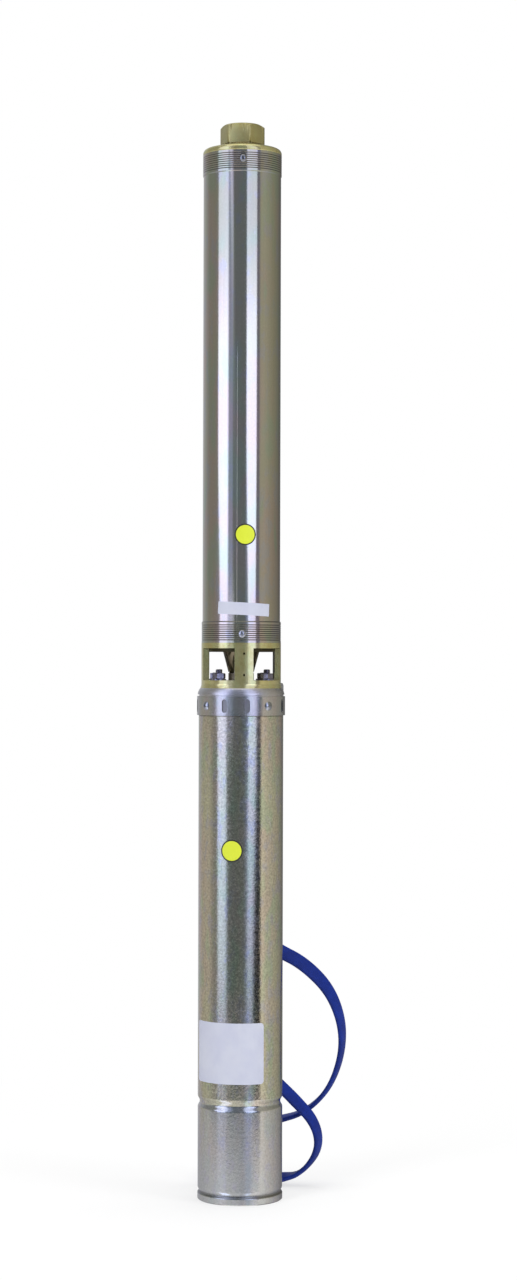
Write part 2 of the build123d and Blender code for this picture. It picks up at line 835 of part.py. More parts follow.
# Pump shaft and its top bearing
def pump_shaft():
    """Shaft with the collar that the first impeller's sleeve stands on."""
    low = coupling_middle + coupling_gap / 2
    collar_low = stack_bottom + sleeve_lift - shaft_collar_drop
    collar_high = stack_bottom + sleeve_lift
    top = stack_top + shaft_end_rise
    return turned([
        (0, low), (pump_shaft_r, low), (pump_shaft_r, collar_low), (sleeve_r, collar_low),
        (sleeve_r, collar_high), (pump_shaft_r, collar_high), (pump_shaft_r, top), (0, top),
    ])


def shaft_nut():
    low = stack_top + sleeve_lift
    return tube(shaft_nut_r, pump_shaft_r + press_clearance, low, low + shaft_nut_height)


def holder_hub_bottom():
    return stack_top + sleeve_lift + shaft_nut_height + hole_clearance


def top_bearing_holder():
    """Spider over the last stage with a bullet-nosed hub for the shaft's top bush."""
    low = holder_hub_bottom()
    high = low + holder_bush_length + 1
    inner = spigot_r - spigot_wall
    hub = turned([
        (hub_bore_r, low), (holder_hub_r, low), (holder_hub_r, high), (0, high + holder_nose),
        (0, high), (hub_bore_r, high),
    ])
    web = rib(holder_hub_r - 1, inner + 1, holder_rib_width, low, high)
    return tube(spigot_r, inner, stack_top, holder_top) + hub + around(web, inlet_rib_count)


def top_bush():
    low = holder_hub_bottom()
    return tube(hub_bore_r - press_clearance, pump_shaft_r + running_clearance, low, low + holder_bush_length)


# Pump casing
def grooved(radius, first, direction):
    """Corners of the rolled grooves from one end of the casing inwards."""
    corners = []
    for i in range(groove_count):
        middle = first + direction * (groove_margin + i * groove_pitch)
        corners.append((radius, middle - direction * groove_half_width))
        corners.append((radius - groove_depth, middle))
        corners.append((radius, middle + direction * groove_half_width))
    return corners


def pump_casing():
    """Drawn tube, swollen a little and ringed with rolled grooves at both ends."""
    bottom_end = casing_bottom + casing_end_length
    top_end = casing_top - casing_end_length
    outline = [(casing_inner_r, casing_bottom), (casing_bottom_r, casing_bottom)]
    outline += grooved(casing_bottom_r, casing_bottom, 1)
    outline += [(casing_bottom_r, bottom_end - casing_step), (casing_r, bottom_end)]
    outline += [(casing_r, top_end), (casing_top_r, top_end + casing_step)]
    outline += reversed(grooved(casing_top_r, casing_top, -1))
    outline += [(casing_top_r, casing_top), (casing_inner_r, casing_top)]
    return turned(outline) - screw_hole_bottom() - screw_hole_top()


def casing_screw_hole(height):
    deep = casing_r - casing_screw_hole_depth
    hole = radial_rod(screw_shank_r + slip_clearance, deep, casing_r + drill_run_out, height)
    return around(hole, 1, casing_screw_azimuth)


def screw_hole_bottom():
    return casing_screw_hole(casing_bottom + casing_screw_setback)


def screw_hole_top():
    return casing_screw_hole(casing_top - casing_screw_setback)


def casing_screws():
    """One locking screw at each end of the casing."""
    bottom = domed_screw(casing_screw_head_r, screw_head_height, casing_bottom_r + slip_clearance,
                         casing_screw_length, casing_bottom + casing_screw_setback)
    top = domed_screw(casing_screw_head_r, screw_head_height, casing_top_r + slip_clearance,
                      casing_screw_length, casing_top - casing_screw_setback)
    return Compound(children=[Rot(0, 0, casing_screw_azimuth) * piece for piece in (bottom, top)])


# Discharge head and non-return valve
def discharge_head():
    """Brass head: spigot, rounded shoulder, hexagon with the outlet thread, and valve chamber."""
    cone_top = head_cone_bottom + head_cone_height
    chamber_outer_r = valve_chamber_r + chamber_wall
    spigot_inner_r = spigot_r - head_spigot_wall
    body = turned_edges([
        Line((valve_chamber_r, seat_top), (chamber_outer_r, seat_top)),
        Line((chamber_outer_r, seat_top), (chamber_outer_r, casing_top - head_floor)),
        Line((chamber_outer_r, casing_top - head_floor), (spigot_inner_r, casing_top - head_floor)),
        Line((spigot_inner_r, casing_top - head_floor), (spigot_inner_r, seat_top)),
        Line((spigot_inner_r, seat_top), (spigot_r, seat_top)),
        Line((spigot_r, seat_top), (spigot_r, casing_top)),
        Line((spigot_r, casing_top), (head_rim_r, casing_top)),
        Line((head_rim_r, casing_top), (head_rim_r, casing_top + head_rim_height)),
        Bezier((head_rim_r, casing_top + head_rim_height), (head_rim_r, head_cone_bottom - 2),
               (head_shoulder_r + 2, head_cone_bottom - 0.4), (head_shoulder_r, head_cone_bottom)),
        Line((head_shoulder_r, head_cone_bottom), (head_undercut_r + head_cone_step, cone_top)),
        Line((head_undercut_r + head_cone_step, cone_top), (head_undercut_r, cone_top)),
        Line((head_undercut_r, cone_top), (head_undercut_r, hex_bottom)),
        Line((head_undercut_r, hex_bottom), (passage_r, hex_bottom)),
        Line((passage_r, hex_bottom), (passage_r, chamber_top + chamber_cone)),
        Line((passage_r, chamber_top + chamber_cone), (valve_chamber_r - chamber_lip, chamber_top)),
        Line((valve_chamber_r - chamber_lip, chamber_top), (valve_chamber_r, chamber_top)),
        Line((valve_chamber_r, chamber_top), (valve_chamber_r, seat_top)),
    ])
    hexagon = extrude(RegularPolygon(hex_flats / 2, 6, major_radius=False), amount=hex_height)
    corner_r = hex_flats / 2 / math.cos(math.pi / 6)
    crown = turned([
        (0, 0), (corner_r, 0), (corner_r, hex_height - hex_chamfer),
        (hex_flats / 2 - hex_face_inset, hex_height), (0, hex_height),
    ])
    block = Pos(0, 0, hex_bottom) * Rot(0, 0, hex_azimuth) * (hexagon & crown)
    outlet = rod(passage_r, hex_bottom, pump_top) + rod(thread_minor_r, pump_top - thread_length, pump_top)
    return body + (block - outlet) - screw_hole_top()


def valve_seat():
    return turned([
        (valve_seat_r, seat_top), (spigot_r, seat_top), (spigot_r, holder_top),
        (valve_chamber_r, holder_top), (valve_seat_r, seat_top - valve_seat_land),
    ])


def valve_guide_bottom():
    return chamber_top - valve_guide_height


def valve_guide():
    """Three-armed spider in the top of the chamber that guides the valve's stem."""
    low = valve_guide_bottom()
    bore = valve_stem_r + running_clearance
    outer = valve_chamber_r - slip_clearance
    ring = tube(outer, outer - valve_guide_rim, low, chamber_top)
    arm = rib(valve_guide_hub_r - 1, outer - 1, valve_guide_rib_width, low, chamber_top)
    return ring + tube(valve_guide_hub_r, bore, low, chamber_top) + around(arm, 3, 60)


def valve_poppet():
    """Poppet with a tapered nose in the seat and a stem in the guide, shown shut."""
    shut = seat_top + valve_stop_gap
    stop = valve_guide_bottom() - valve_travel - valve_stop_gap
    tip = shut - valve_nose_drop
    back = shut + valve_disc_thickness
    boss = back + valve_boss_rise
    end = chamber_top + valve_stem_stand_out
    return turned([
        (0, tip), (valve_nose_r, tip), (valve_seat_r - valve_nose_taper, shut), (valve_disc_r, shut),
        (valve_disc_r, back), (valve_boss_r + 1, (back + boss) / 2), (valve_boss_r, boss),
        (valve_boss_r, stop), (valve_stem_r, stop), (valve_stem_r, end), (0, end),
    ])


# Motor lead
def lead_route():
    """Points of the lead from the gland down behind the motor, round two loops, to its coil."""
    middle = (gland_inner_r + gland_outer_r) / 2
    leaves = gland_place(middle, gland_width / 2, lead_z).position
    clears = gland_place(middle, gland_width / 2 + lead_straight, lead_z).position
    coil_start = (coil_centre_x, coil_centre_y - coil_turn_r, coil_height / 2)
    return [tuple(leaves), tuple(clears)] + [
        (18.5, 68, 570.5), (11, 80, 554), (6, 83, 528), (3, 80, 492), (-2, 76, 452), (-3, 70, 410),
        (0, 65, 368), (6, 62, 328), (22, 62, 292), (52, 64, 266), (84, 66, 236), (110, 68, 194),
        (122, 71, 148), (110, 77, 108), (82, 84, 84), (46, 89, 72), (12, 92, 62), (-20, 92, 72),
        (-38, 86, 98), (-32, 77, 130), (-4, 69, 148), (30, 64, 140), (62, 62, 108), (84, 62, 78),
        (94, 64, 48), (80, 69, 20), (58, 70, 9), (36, 68.7, 8.2), coil_start,
    ]


def lead_corner_radii(points):
    """Radius of the arc at each corner, from the shorter run beside it and the turn."""
    radii = []
    for before, corner, after in zip(points, points[1:], points[2:]):
        run_in = Vector(corner) - Vector(before)
        run_out = Vector(after) - Vector(corner)
        half_turn = math.radians(run_in.get_angle(run_out)) / 2
        radii.append(0.45 * min(run_in.length, run_out.length) / math.tan(half_turn))
    return radii


def motor_lead():
    """Plain tube along the lead's route, standing for the flat cable."""
    points = lead_route()
    radii = lead_corner_radii(points)
    path = FilletPolyline(*points, radius=radii)
    lead = sweep(Plane(origin=path @ 0, z_dir=path % 0) * Circle(lead_d / 2), path=path)
    print("lead corner radii", [round(radius) for radius in radii])
    print("lead length", round(path.length), "volume ratio",
          round(lead.volume / (path.length * math.pi * lead_d ** 2 / 4), 4))
    return lead


def lead_coil():
    """Outer shape of the lead's spare length, wound up on the floor behind the pump."""
    outer = coil_turn_r + lead_d * 0.4
    return Pos(coil_centre_x, coil_centre_y, 0) * tube(outer, outer - coil_band, 0, coil_height)


nodes = {
    "bottom_cup": bottom_cup(),
    "bottom_cap": bottom_cap(),
    "motor_casing": motor_casing(),
    "clamp_band": clamp_band(),
    "clamp_band_screws": clamp_band_screws(),
    "cable_gland": cable_gland(),
    "motor_lead": motor_lead(),
    "lead_coil": lead_coil(),
    "motor_top_flange": motor_top_flange(),
    "upper_bush": shaft_bush(upper_hub_bottom, upper_bush_length),
    "lower_bracket": lower_bracket(),
    "lower_bush": shaft_bush(lower_hub_top - lower_bush_length, lower_bush_length),
    "pressure_membrane": pressure_membrane(),
    "thrust_carrier": thrust_carrier(),
    "thrust_pads": thrust_pads(),
    "thrust_disc": thrust_disc(),
    "stator_core": stator_core(),
    "stator_winding": stator_winding(),
    "rotor_core": rotor_core(),
    "motor_shaft": motor_shaft(),
    "seal_seat": seal_seat(),
    "seal_head": seal_head(),
    "sand_slinger": sand_slinger(),
    "suction_connector": suction_connector(),
    "inlet_bush": inlet_bush(),
    "flange_studs": flange_studs(),
    "flange_washers": flange_washers(),
    "flange_nuts": flange_nuts(),
    "shaft_coupling": shaft_coupling(),
    "pump_shaft": pump_shaft(),
    "shaft_nut": shaft_nut(),
    "top_bearing_holder": top_bearing_holder(),
    "top_bush": top_bush(),
    "pump_casing": pump_casing(),
    "casing_screws": casing_screws(),
    "discharge_head": discharge_head(),
    "valve_seat": valve_seat(),
    "valve_guide": valve_guide(),
    "valve_poppet": valve_poppet(),
}
one_impeller = impeller()
one_bowl = stage_bowl()
for stage in range(stage_count):
    lift = Pos(0, 0, stage_base(stage))
    nodes[f"impeller_{stage + 1:02d}"] = lift * one_impeller
    nodes[f"stage_bowl_{stage + 1:02d}"] = lift * one_bowl

for name, shape in nodes.items():
    export_step(shape, f"parts/{name}.step")
print(len(nodes), "pieces, overall height", round(pump_top, 2))
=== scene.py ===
# %% [markdown]
# # A borehole pump, dressed in Blender
# The solid model of this pump is finished and arrives as a fixed frame. In this lesson it gets its
# cable, its small hardware, its stickers and its metal. The frame comes first, because each new piece
# takes its place from it. Its box is kept as well, because what is added may hardly leave it.

# %% Load the frame
import math

import bmesh
import bpy
from mathutils import Matrix, Vector


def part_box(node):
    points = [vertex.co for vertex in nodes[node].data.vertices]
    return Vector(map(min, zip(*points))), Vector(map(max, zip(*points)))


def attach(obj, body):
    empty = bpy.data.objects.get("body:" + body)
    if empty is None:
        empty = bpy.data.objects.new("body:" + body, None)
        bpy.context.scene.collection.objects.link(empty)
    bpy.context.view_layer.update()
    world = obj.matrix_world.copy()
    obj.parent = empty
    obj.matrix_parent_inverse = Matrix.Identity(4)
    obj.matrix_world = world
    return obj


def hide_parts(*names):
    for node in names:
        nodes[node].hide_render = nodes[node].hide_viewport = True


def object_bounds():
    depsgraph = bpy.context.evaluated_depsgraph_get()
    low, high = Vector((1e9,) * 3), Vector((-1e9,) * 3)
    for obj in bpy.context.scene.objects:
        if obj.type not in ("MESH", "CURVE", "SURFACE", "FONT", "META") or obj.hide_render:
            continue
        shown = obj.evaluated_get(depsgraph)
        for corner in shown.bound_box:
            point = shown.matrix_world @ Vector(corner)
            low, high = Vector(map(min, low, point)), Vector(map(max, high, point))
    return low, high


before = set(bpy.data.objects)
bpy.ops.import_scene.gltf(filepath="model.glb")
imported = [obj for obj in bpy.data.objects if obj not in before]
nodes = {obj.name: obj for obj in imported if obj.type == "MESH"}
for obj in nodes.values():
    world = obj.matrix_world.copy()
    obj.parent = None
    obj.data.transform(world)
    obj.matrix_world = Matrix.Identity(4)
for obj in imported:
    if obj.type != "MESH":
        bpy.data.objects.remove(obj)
cad_box = [list(corner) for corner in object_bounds()]
print("the frame has", len(nodes), "nodes; it stands", round(cad_box[1][2], 4), "m tall")

# %% [markdown]
# ## The camera
# The photograph was taken from about three metres, level with the middle of the pump and a little to
# its left, so the tubes' edges stay upright. A camera that stays level and shifts its frame instead of
# tilting keeps them upright here too.

# %% Place the camera
MM = 0.001
CAMERA_AZIMUTH = math.radians(-4.3)
CAMERA_ROLL = math.radians(0.15)
CAMERA_DISTANCE = 3.05
CAMERA_HEIGHT = 0.6105
CAMERA_LENS = 75.57
CAMERA_SHIFT = (0.01355, 0.0156)

aside, towards = math.sin(CAMERA_AZIMUTH), -math.cos(CAMERA_AZIMUTH)
bpy.ops.object.camera_add(
    location=(CAMERA_DISTANCE * aside, CAMERA_DISTANCE * towards, CAMERA_HEIGHT),
    rotation=(math.pi / 2, -CAMERA_ROLL, CAMERA_AZIMUTH))
camera = bpy.context.object
camera.data.lens = CAMERA_LENS
camera.data.shift_x, camera.data.shift_y = CAMERA_SHIFT
bpy.context.scene.camera = camera
print("camera at", [round(value, 3) for value in camera.location])

# %% [markdown]
# ## Tools of the bench
# Every new piece is made the same way: a primitive is added with nothing else selected, some of its
# faces, edges or corners are chosen by where they are, an operator shapes them, and a modifier or a
# cut finishes the piece. These few helpers keep each of those steps to one line. The ones that start
# or hold a piece leave edit mode first, so no step has to remember to.

# %% Modelling helpers
def let_go():
    """Leave edit mode and deselect everything, so that an operator acts on the new piece alone."""
    if bpy.context.object and bpy.context.object.mode != "OBJECT":
        bpy.ops.object.mode_set(mode="OBJECT")
    bpy.ops.object.select_all(action="DESELECT")


def hold(piece):
    """Make one piece the selected and active one."""
    let_go()
    piece.select_set(True)
    bpy.context.view_layer.objects.active = piece


def start_piece(name, add, scale=(1, 1, 1), **settings):
    """Add a primitive and keep its place in its mesh, so that the object stays at the origin."""
    let_go()
    add(**settings)
    piece = bpy.context.object
    piece.name = name
    piece.scale = scale
    bpy.ops.object.transform_apply(location=True, rotation=True, scale=True)
    return piece


def round_bar(name, sides, radius, depth, height):
    """Upright cylinder round the Z axis, with its middle at a height."""
    return start_piece(name, bpy.ops.mesh.primitive_cylinder_add, vertices=sides, radius=radius,
                       depth=depth, location=(0, 0, height))


def middle(part):
    """Middle of an edge or a face."""
    return sum((corner.co for corner in part.verts), Vector()) / len(part.verts)


def looks_up(face):
    return face.normal.z > 0.9


def looks_down(face):
    return face.normal.z < -0.9


def choose(piece, test=lambda part: True, mode="FACE"):
    """Edit the piece with only the faces, edges or corners selected that pass a test, or all."""
    hold(piece)
    bpy.ops.object.mode_set(mode="EDIT")
    bpy.ops.mesh.select_mode(type=mode)
    bpy.ops.mesh.select_all(action="DESELECT")
    skin = bmesh.from_edit_mesh(piece.data)
    for part in {"FACE": skin.faces, "EDGE": skin.edges, "VERT": skin.verts}[mode]:
        part.select_set(bool(test(part)))
    skin.select_flush_mode()
    bmesh.update_edit_mesh(piece.data)


def pull(up):
    """Extrude the chosen faces up, or down where the distance is negative."""
    bpy.ops.mesh.extrude_region_move(TRANSFORM_OT_translate={"value": (0, 0, up)})


def widen(share):
    """Spread the chosen faces from the axis, or draw them in where the share is under 1."""
    bpy.ops.transform.resize(value=(share, share, 1), center_override=(0, 0, 0))


def finish_with(piece, kind, **settings):
    """Add a modifier with these settings and apply it."""
    hold(piece)
    modifier = piece.modifiers.new(kind.lower(), kind)
    for name, value in settings.items():
        setattr(modifier, name, value)
    bpy.ops.object.modifier_apply(modifier=modifier.name)


def cut_with(piece, cutter, operation="DIFFERENCE"):
    finish_with(piece, "BOOLEAN", operation=operation, object=cutter, solver="EXACT")
    bpy.data.objects.remove(cutter)


def ease_normals(piece, degrees=40):
    """Point the faces outwards and shade the piece smooth, apart from its sharp edges."""
    choose(piece)
    bpy.ops.mesh.normals_make_consistent(inside=False)
    bpy.ops.object.mode_set(mode="OBJECT")
    bpy.ops.object.shade_smooth_by_angle(angle=math.radians(degrees))


print("bench ready")

# %% [markdown]
# ## Putting pieces in their places
# A finished object stays at the origin and has its place in its mesh, so a pattern that reads the
# object's own coordinates never slides. A piece is copied with a mesh of its own, and a matrix moves
# that mesh. Then the piece says which body carries it and which nodes of the frame it stands for.

# %% Placing helpers
def on_wall(azimuth, radius, height, turn=0.0):
    """Place on a round wall: the piece's own Z points outwards there and its Y points up."""
    out = Matrix.Rotation(math.radians(azimuth), 4, "Z") @ Matrix.Translation((0, -radius, height))
    return out @ Matrix.Rotation(math.pi / 2, 4, "X") @ Matrix.Rotation(math.radians(turn), 4, "Z")


def copied(piece, name, place):
    """A copy with its own mesh, moved to a place."""
    twin = piece.copy()
    twin.data = piece.data.copy()
    twin.name = name
    twin.data.transform(place)
    bpy.context.scene.collection.objects.link(twin)
    return twin


def belongs(piece, finish, *replaced):
    """The piece rides on the pump and may stand for CAD nodes, which it hides; its finish argument is
    not used.
    """
    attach(piece, "pump_body")
    if replaced:
        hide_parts(*replaced)


def placed(piece, name, place, finish, *replaced):
    """A copy at its place that belongs to the pump."""
    twin = copied(piece, name, place)
    belongs(twin, finish, *replaced)
    return twin


def heights(node):
    """Height of a CAD node's lowest and highest point."""
    low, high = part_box(node)
    return low[2], high[2]


print("the casing goes from", *(round(height, 4) for height in heights("pump_casing")), "m")

# %% [markdown]
# ## The line of the motor lead
# The lead is a flat four-core cable. It leaves the gland at the rear right of the motor's top, drops
# behind the motor, swings out to the right in two loops and ends in a small coil on the floor. Such a
# line is easiest as a NURBS curve: its few control points are the places that the cable passes, and
# the curve is smooth by itself. The coil's turns are more points of the same curve, set by a loop.

# %% Draw the line
GLAND_AZIMUTH = math.radians(113.0)
GLAND_MIDDLE_R = 45.6 * MM
GLAND_HALF_WIDTH = 9.0 * MM
LEAD_STRAIGHT = 24.0 * MM
LEAD_Z = 577.7 * MM
COIL_CENTRE_X = 10.2 * MM
COIL_CENTRE_Y = 110.0 * MM
COIL_Z = 8.2 * MM
COIL_OUTER_R = 42.0 * MM
COIL_INNER_R = 28.8 * MM
COIL_TURNS = 2
COIL_STEPS = 14
LEAD_WIDTH = 16.0 * MM
LEAD_THICKNESS = 6.0 * MM


def beside_gland(along):
    """A point at the gland's middle radius, so far along the rim towards the rear."""
    return (along * math.cos(GLAND_AZIMUTH) + GLAND_MIDDLE_R * math.sin(GLAND_AZIMUTH),
            along * math.sin(GLAND_AZIMUTH) - GLAND_MIDDLE_R * math.cos(GLAND_AZIMUTH),
            LEAD_Z)


# The free run's points are in millimetres.
free_run = [
    (18.5, 68, 570.5), (11, 80, 554), (6, 83, 528), (3, 80, 492), (-2, 76, 452), (-3, 70, 410),
    (0, 65, 368), (4, 62, 332), (16, 62, 300), (44, 64, 276), (80, 66, 258), (114, 68, 222),
    (128, 71, 170), (114.5, 77, 115), (84, 84, 82), (46, 89, 72), (12, 92, 61), (-20, 92, 72),
    (-38, 86, 98), (-32, 77, 128), (-4, 69, 144), (34, 64, 134), (65, 62, 104), (93, 62, 74),
    (98, 64, 42), (77, 69, 13), (52, 70, 9), (36, 68.7, 8.2),
]
coil_run = []
coil_points = COIL_TURNS * COIL_STEPS
for step in range(coil_points + 1):
    turn = 2 * math.pi * step / COIL_STEPS
    radius = COIL_OUTER_R - (COIL_OUTER_R - COIL_INNER_R) * step / coil_points
    coil_run.append((COIL_CENTRE_X - radius * math.sin(turn),
                     COIL_CENTRE_Y - radius * math.cos(turn), COIL_Z))

route = [beside_gland(GLAND_HALF_WIDTH), beside_gland(GLAND_HALF_WIDTH + LEAD_STRAIGHT)]
route += [tuple(value * MM for value in point) for point in free_run] + coil_run


def nurbs_line(name, points):
    """Smooth open curve with these control points."""
    curve = bpy.data.curves.new(name, "CURVE")
    curve.dimensions = "3D"
    curve.resolution_u = 10
    spline = curve.splines.new("NURBS")
    spline.points.add(len(points) - 1)
    for knot, point in zip(spline.points, points):
        knot.co = (*point, 1.0)
    spline.order_u = 3
    spline.use_endpoint_u = True
    line = bpy.data.objects.new(name, curve)
    bpy.context.scene.collection.objects.link(line)
    return line


def followed(line):
    """The points along a curve, read from the bare mesh that Blender makes of it."""
    mesh = bpy.data.meshes.new_from_object(line)
    points = [vertex.co.copy() for vertex in mesh.vertices]
    bpy.data.meshes.remove(mesh)
    return points


lead_line = nurbs_line("motor_lead_line", route)
lead_points = followed(lead_line)
bpy.data.objects.remove(lead_line)
steps = [(b - a).length for a, b in zip(lead_points, lead_points[1:])]

# %% [markdown]
# ## The sheath of the motor lead
# A flat cable bends easily only across its flat side, so it twists to turn another way. The twist is
# what makes the loops look real: the broad side shows where a loop starts and the thin edge where it
# ends. So each control point gets a direction for the cable's width, and a ring of corners is set
# across the line at each point. The outline has four soft lobes, one over each core.

# %% Make the sheath
CORE_COUNT = 4
OUTLINE_CORNERS = 28
SIDE_ROUNDNESS = 0.7
FLAT_ROUNDNESS = 0.45
LOBE_DEPTH = 0.35 * MM

width_keys = {
    0: (0, 0, 1), 1: (0.6, 0.25, 0.75), 2: (0.93, 0.37, 0.1), 3: (0.97, 0.2, 0), 4: (1, 0, 0),
    9: (1, 0, 0.1), 10: (0.8, 0, 0.6), 11: (0.5, 0.15, 0.85), 12: (0.6, 0.35, 0.72),
    13: (0.6, 0.7, 0.35), 14: (0.38, 0.92, 0), 15: (0.2, 0.96, -0.1), 16: (0, 1, 0),
    17: (0, 0.95, 0.3), 18: (0, 0.9, 0.3), 19: (0, 1, 0.1), 20: (0, 1, 0), 21: (-0.2, 1, 0),
    22: (0, 0.9, 0.4), 23: (0.35, 0.7, 0.6), 24: (0.6, 0.6, 0.56), 25: (0.6, 0.76, 0.23),
    26: (0.45, 0.88, -0.08), 27: (0.1, 0.97, -0.15), 28: (0, 0.9, 0.45), 29: (0, 0.3, 1),
    30: (0, 0, 1), len(route) - 1: (0, 0, 1),
}


def width_at(place):
    """The direction of the cable's width at a place counted in control points."""
    before = max(key for key in width_keys if key <= place)
    after = min(key for key in width_keys if key >= place)
    if before == after:
        return Vector(width_keys[before])
    share = (place - before) / (after - before)
    return Vector(width_keys[before]).lerp(Vector(width_keys[after]), share)


def cable_outline(width, thickness, lobe_depth=0.0):
    """Flat rounded outline as (across, through) pairs, with a soft lobe over each core."""
    outline = []
    for i in range(OUTLINE_CORNERS):
        angle = 2 * math.pi * i / OUTLINE_CORNERS
        along, over = math.cos(angle), math.sin(angle)
        across = math.copysign(abs(along) ** SIDE_ROUNDNESS, along) * width / 2
        through = math.copysign(abs(over) ** FLAT_ROUNDNESS, over) * thickness / 2
        groove = lobe_depth * (1 + math.cos(2 * math.pi * CORE_COUNT * across / width)) / 2
        if abs(through) > 1.5 * groove:
            through -= math.copysign(groove, through)
        outline.append((across, through))
    return outline


def lofted(name, middles, tangents, widths, outlines):
    """Mesh skin over rings of corners, one ring to each point of a line, closed at both ends."""
    corners = []
    for spot, tangent, width, outline in zip(middles, tangents, widths, outlines):
        across = (width - tangent * width.dot(tangent)).normalized()
        through = tangent.cross(across)
        corners += [spot + across * u + through * v for u, v in outline]
    count = len(outlines[0])
    faces = []
    for ring in range(len(middles) - 1):
        for i in range(count):
            here, beside = ring * count + i, ring * count + (i + 1) % count
            faces.append((here, beside, beside + count, here + count))
    last = (len(middles) - 1) * count
    faces.append(tuple(reversed(range(count))))
    faces.append(tuple(range(last, last + count)))
    mesh = bpy.data.meshes.new(name)
    mesh.from_pydata(corners, [], faces)
    piece = bpy.data.objects.new(name, mesh)
    bpy.context.scene.collection.objects.link(piece)
    return piece


def directions(points):
    """Unit direction of a line at each of its points."""
    ahead = points[1:] + points[-1:]
    behind = points[:1] + points[:-1]
    return [(b - a).normalized() for a, b in zip(behind, ahead)]


last_key, last_point = len(route) - 1, len(lead_points) - 1
lead_widths = [width_at(last_key * i / last_point) for i in range(len(lead_points))]
lead_tangents = directions(lead_points)
sheath_outlines = [cable_outline(LEAD_WIDTH, LEAD_THICKNESS, LOBE_DEPTH)] * len(lead_points)
motor_lead = lofted("motor_lead_cable", lead_points, lead_tangents, lead_widths, sheath_outlines)
ease_normals(motor_lead)
belongs(motor_lead, "cable_blue", "motor_lead", "lead_coil")
print("sheath", len(motor_lead.data.polygons), "faces")

# %% [markdown]
# ## The bare end
# The far end isn't in a plug: it is stripped, ready to be spliced to the drop cable. Four insulated
# cores stick out of the sheath with a little bright copper at each tip. They fan out slightly.

# %% Strip the end
CORE_R = 1.15 * MM
CORE_BARE_R = 0.75 * MM
CORE_LENGTH = 28.0 * MM
CORE_HIDDEN = 6.0 * MM
CORE_FAN = 3.0 * MM
CORE_RISE = 0.6 * MM
OUTER_CORE_HEIGHT = 0.36 * LEAD_WIDTH
UP = Vector((0, 0, 1))

end_point = lead_points[-1]
end_ahead = lead_tangents[-1]
end_side = end_ahead.cross(UP).normalized()


def core_line(spot):
    """Points along one core, from inside the sheath to its tip."""
    spread = (spot - 1.5) / 1.5
    start = end_point - end_ahead * CORE_HIDDEN + UP * (spread * OUTER_CORE_HEIGHT)
    run = end_ahead * (CORE_HIDDEN + CORE_LENGTH)
    fan, rise = end_side * (CORE_FAN * spread), UP * (CORE_RISE * spread)
    return [start + run * t + fan * t ** 2 + rise * t for t in (0, 0.2, 0.4, 0.6, 0.8, 1.0)]


def round_rod(name, middles, radius, corners=12):
    """Round rod along a line."""
    ring = [2 * math.pi * i / corners for i in range(corners)]
    outline = [(radius * math.cos(angle), radius * math.sin(angle)) for angle in ring]
    count = len(middles)
    return lofted(name, middles, directions(middles), [UP] * count, [outline] * count)


sleeves, bare_tips = [], []
for spot in range(CORE_COUNT):
    middles = core_line(spot)
    sleeves.append(round_rod(f"lead_core_{spot + 1}", middles[:5], CORE_R))
    bare_tips.append(round_rod(f"lead_core_copper_{spot + 1}", middles[3:], CORE_BARE_R))
for cores, finish in ((sleeves, "rubber"), (bare_tips, "copper")):
    for core in cores:
        ease_normals(core)
        belongs(core, finish)
print("bare end", len(sleeves), "cores")

# %% [markdown]
# ## The strain relief
# Where the lead leaves the gland, a tapered rubber sleeve keeps it from kinking. It follows the lead's
# own line, so it is lofted over the first few points of that line, thicker at the gland.

# %% Make the strain relief
RELIEF_LENGTH = 26.0 * MM
RELIEF_WIDER = (1.6 * MM, 1.0 * MM)
RELIEF_THICKER = (2.6 * MM, 1.2 * MM)


def tapered(ends, share):
    """A measure that goes evenly from one end's value to the other's."""
    return ends[0] + (ends[1] - ends[0]) * share


reach = 0.0
relief_count = 0
while reach < RELIEF_LENGTH:
    reach += steps[relief_count]
    relief_count += 1
shares = [i / (relief_count - 1) for i in range(relief_count)]
relief_outlines = [cable_outline(LEAD_WIDTH + tapered(RELIEF_WIDER, share),
                                 LEAD_THICKNESS + tapered(RELIEF_THICKER, share)) for share in shares]
strain_relief = lofted("gland_strain_relief", lead_points[:relief_count],
                       lead_tangents[:relief_count], lead_widths[:relief_count], relief_outlines)
ease_normals(strain_relief)
belongs(strain_relief, "gland_rubber")
print("strain relief", round(reach * 1000, 1), "mm long")

# %% [markdown]
# ## Screws
# The band and the casing are held by pan-head screws with a cross recess. One is modelled lying on its
# head's seat with its shank down: a ball is cut to a dome, the shank is drawn out of the dome's flat
# side, and a tapered cross is cut out of the top. Six copies then go to their places on the walls. The
# frame's own screws give those places.

# %% Make the screws
SCREW_HEAD_R = 5.0 * MM
SCREW_HEAD_HEIGHT = 2.2 * MM
SCREW_SHANK_R = 2.5 * MM
SCREW_LENGTH = 7.5 * MM
CROSS_REACH = 2.7 * MM
CROSS_WIDTH = 0.95 * MM
CROSS_DEPTH = 2.6 * MM
CROSS_TAPER = 0.62
BAND_SEAT_R = 50.0 * MM
FIRST_BAND_SCREW = 33.7
BAND_SCREW_TURNS = (12, 50, -25, 70)
CASING_SCREW_AZIMUTH = -3.0
CASING_SCREW_SHARE = 0.84
UPPER_SEAT_R = 44.75 * MM
LOWER_SEAT_R = 45.1 * MM


def cross_cutter():
    """Tapered cross with its wide side up, to cut a recess."""
    bars = []
    for name, size in (("bar_x", (2 * CROSS_REACH, CROSS_WIDTH, CROSS_DEPTH)),
                       ("bar_y", (CROSS_WIDTH, 2 * CROSS_REACH, CROSS_DEPTH))):
        bars.append(start_piece(name, bpy.ops.mesh.primitive_cube_add, size=1, scale=size))
        choose(bars[-1], looks_down)
        widen(CROSS_TAPER)
    cut_with(bars[0], bars[1], "UNION")
    return bars[0]


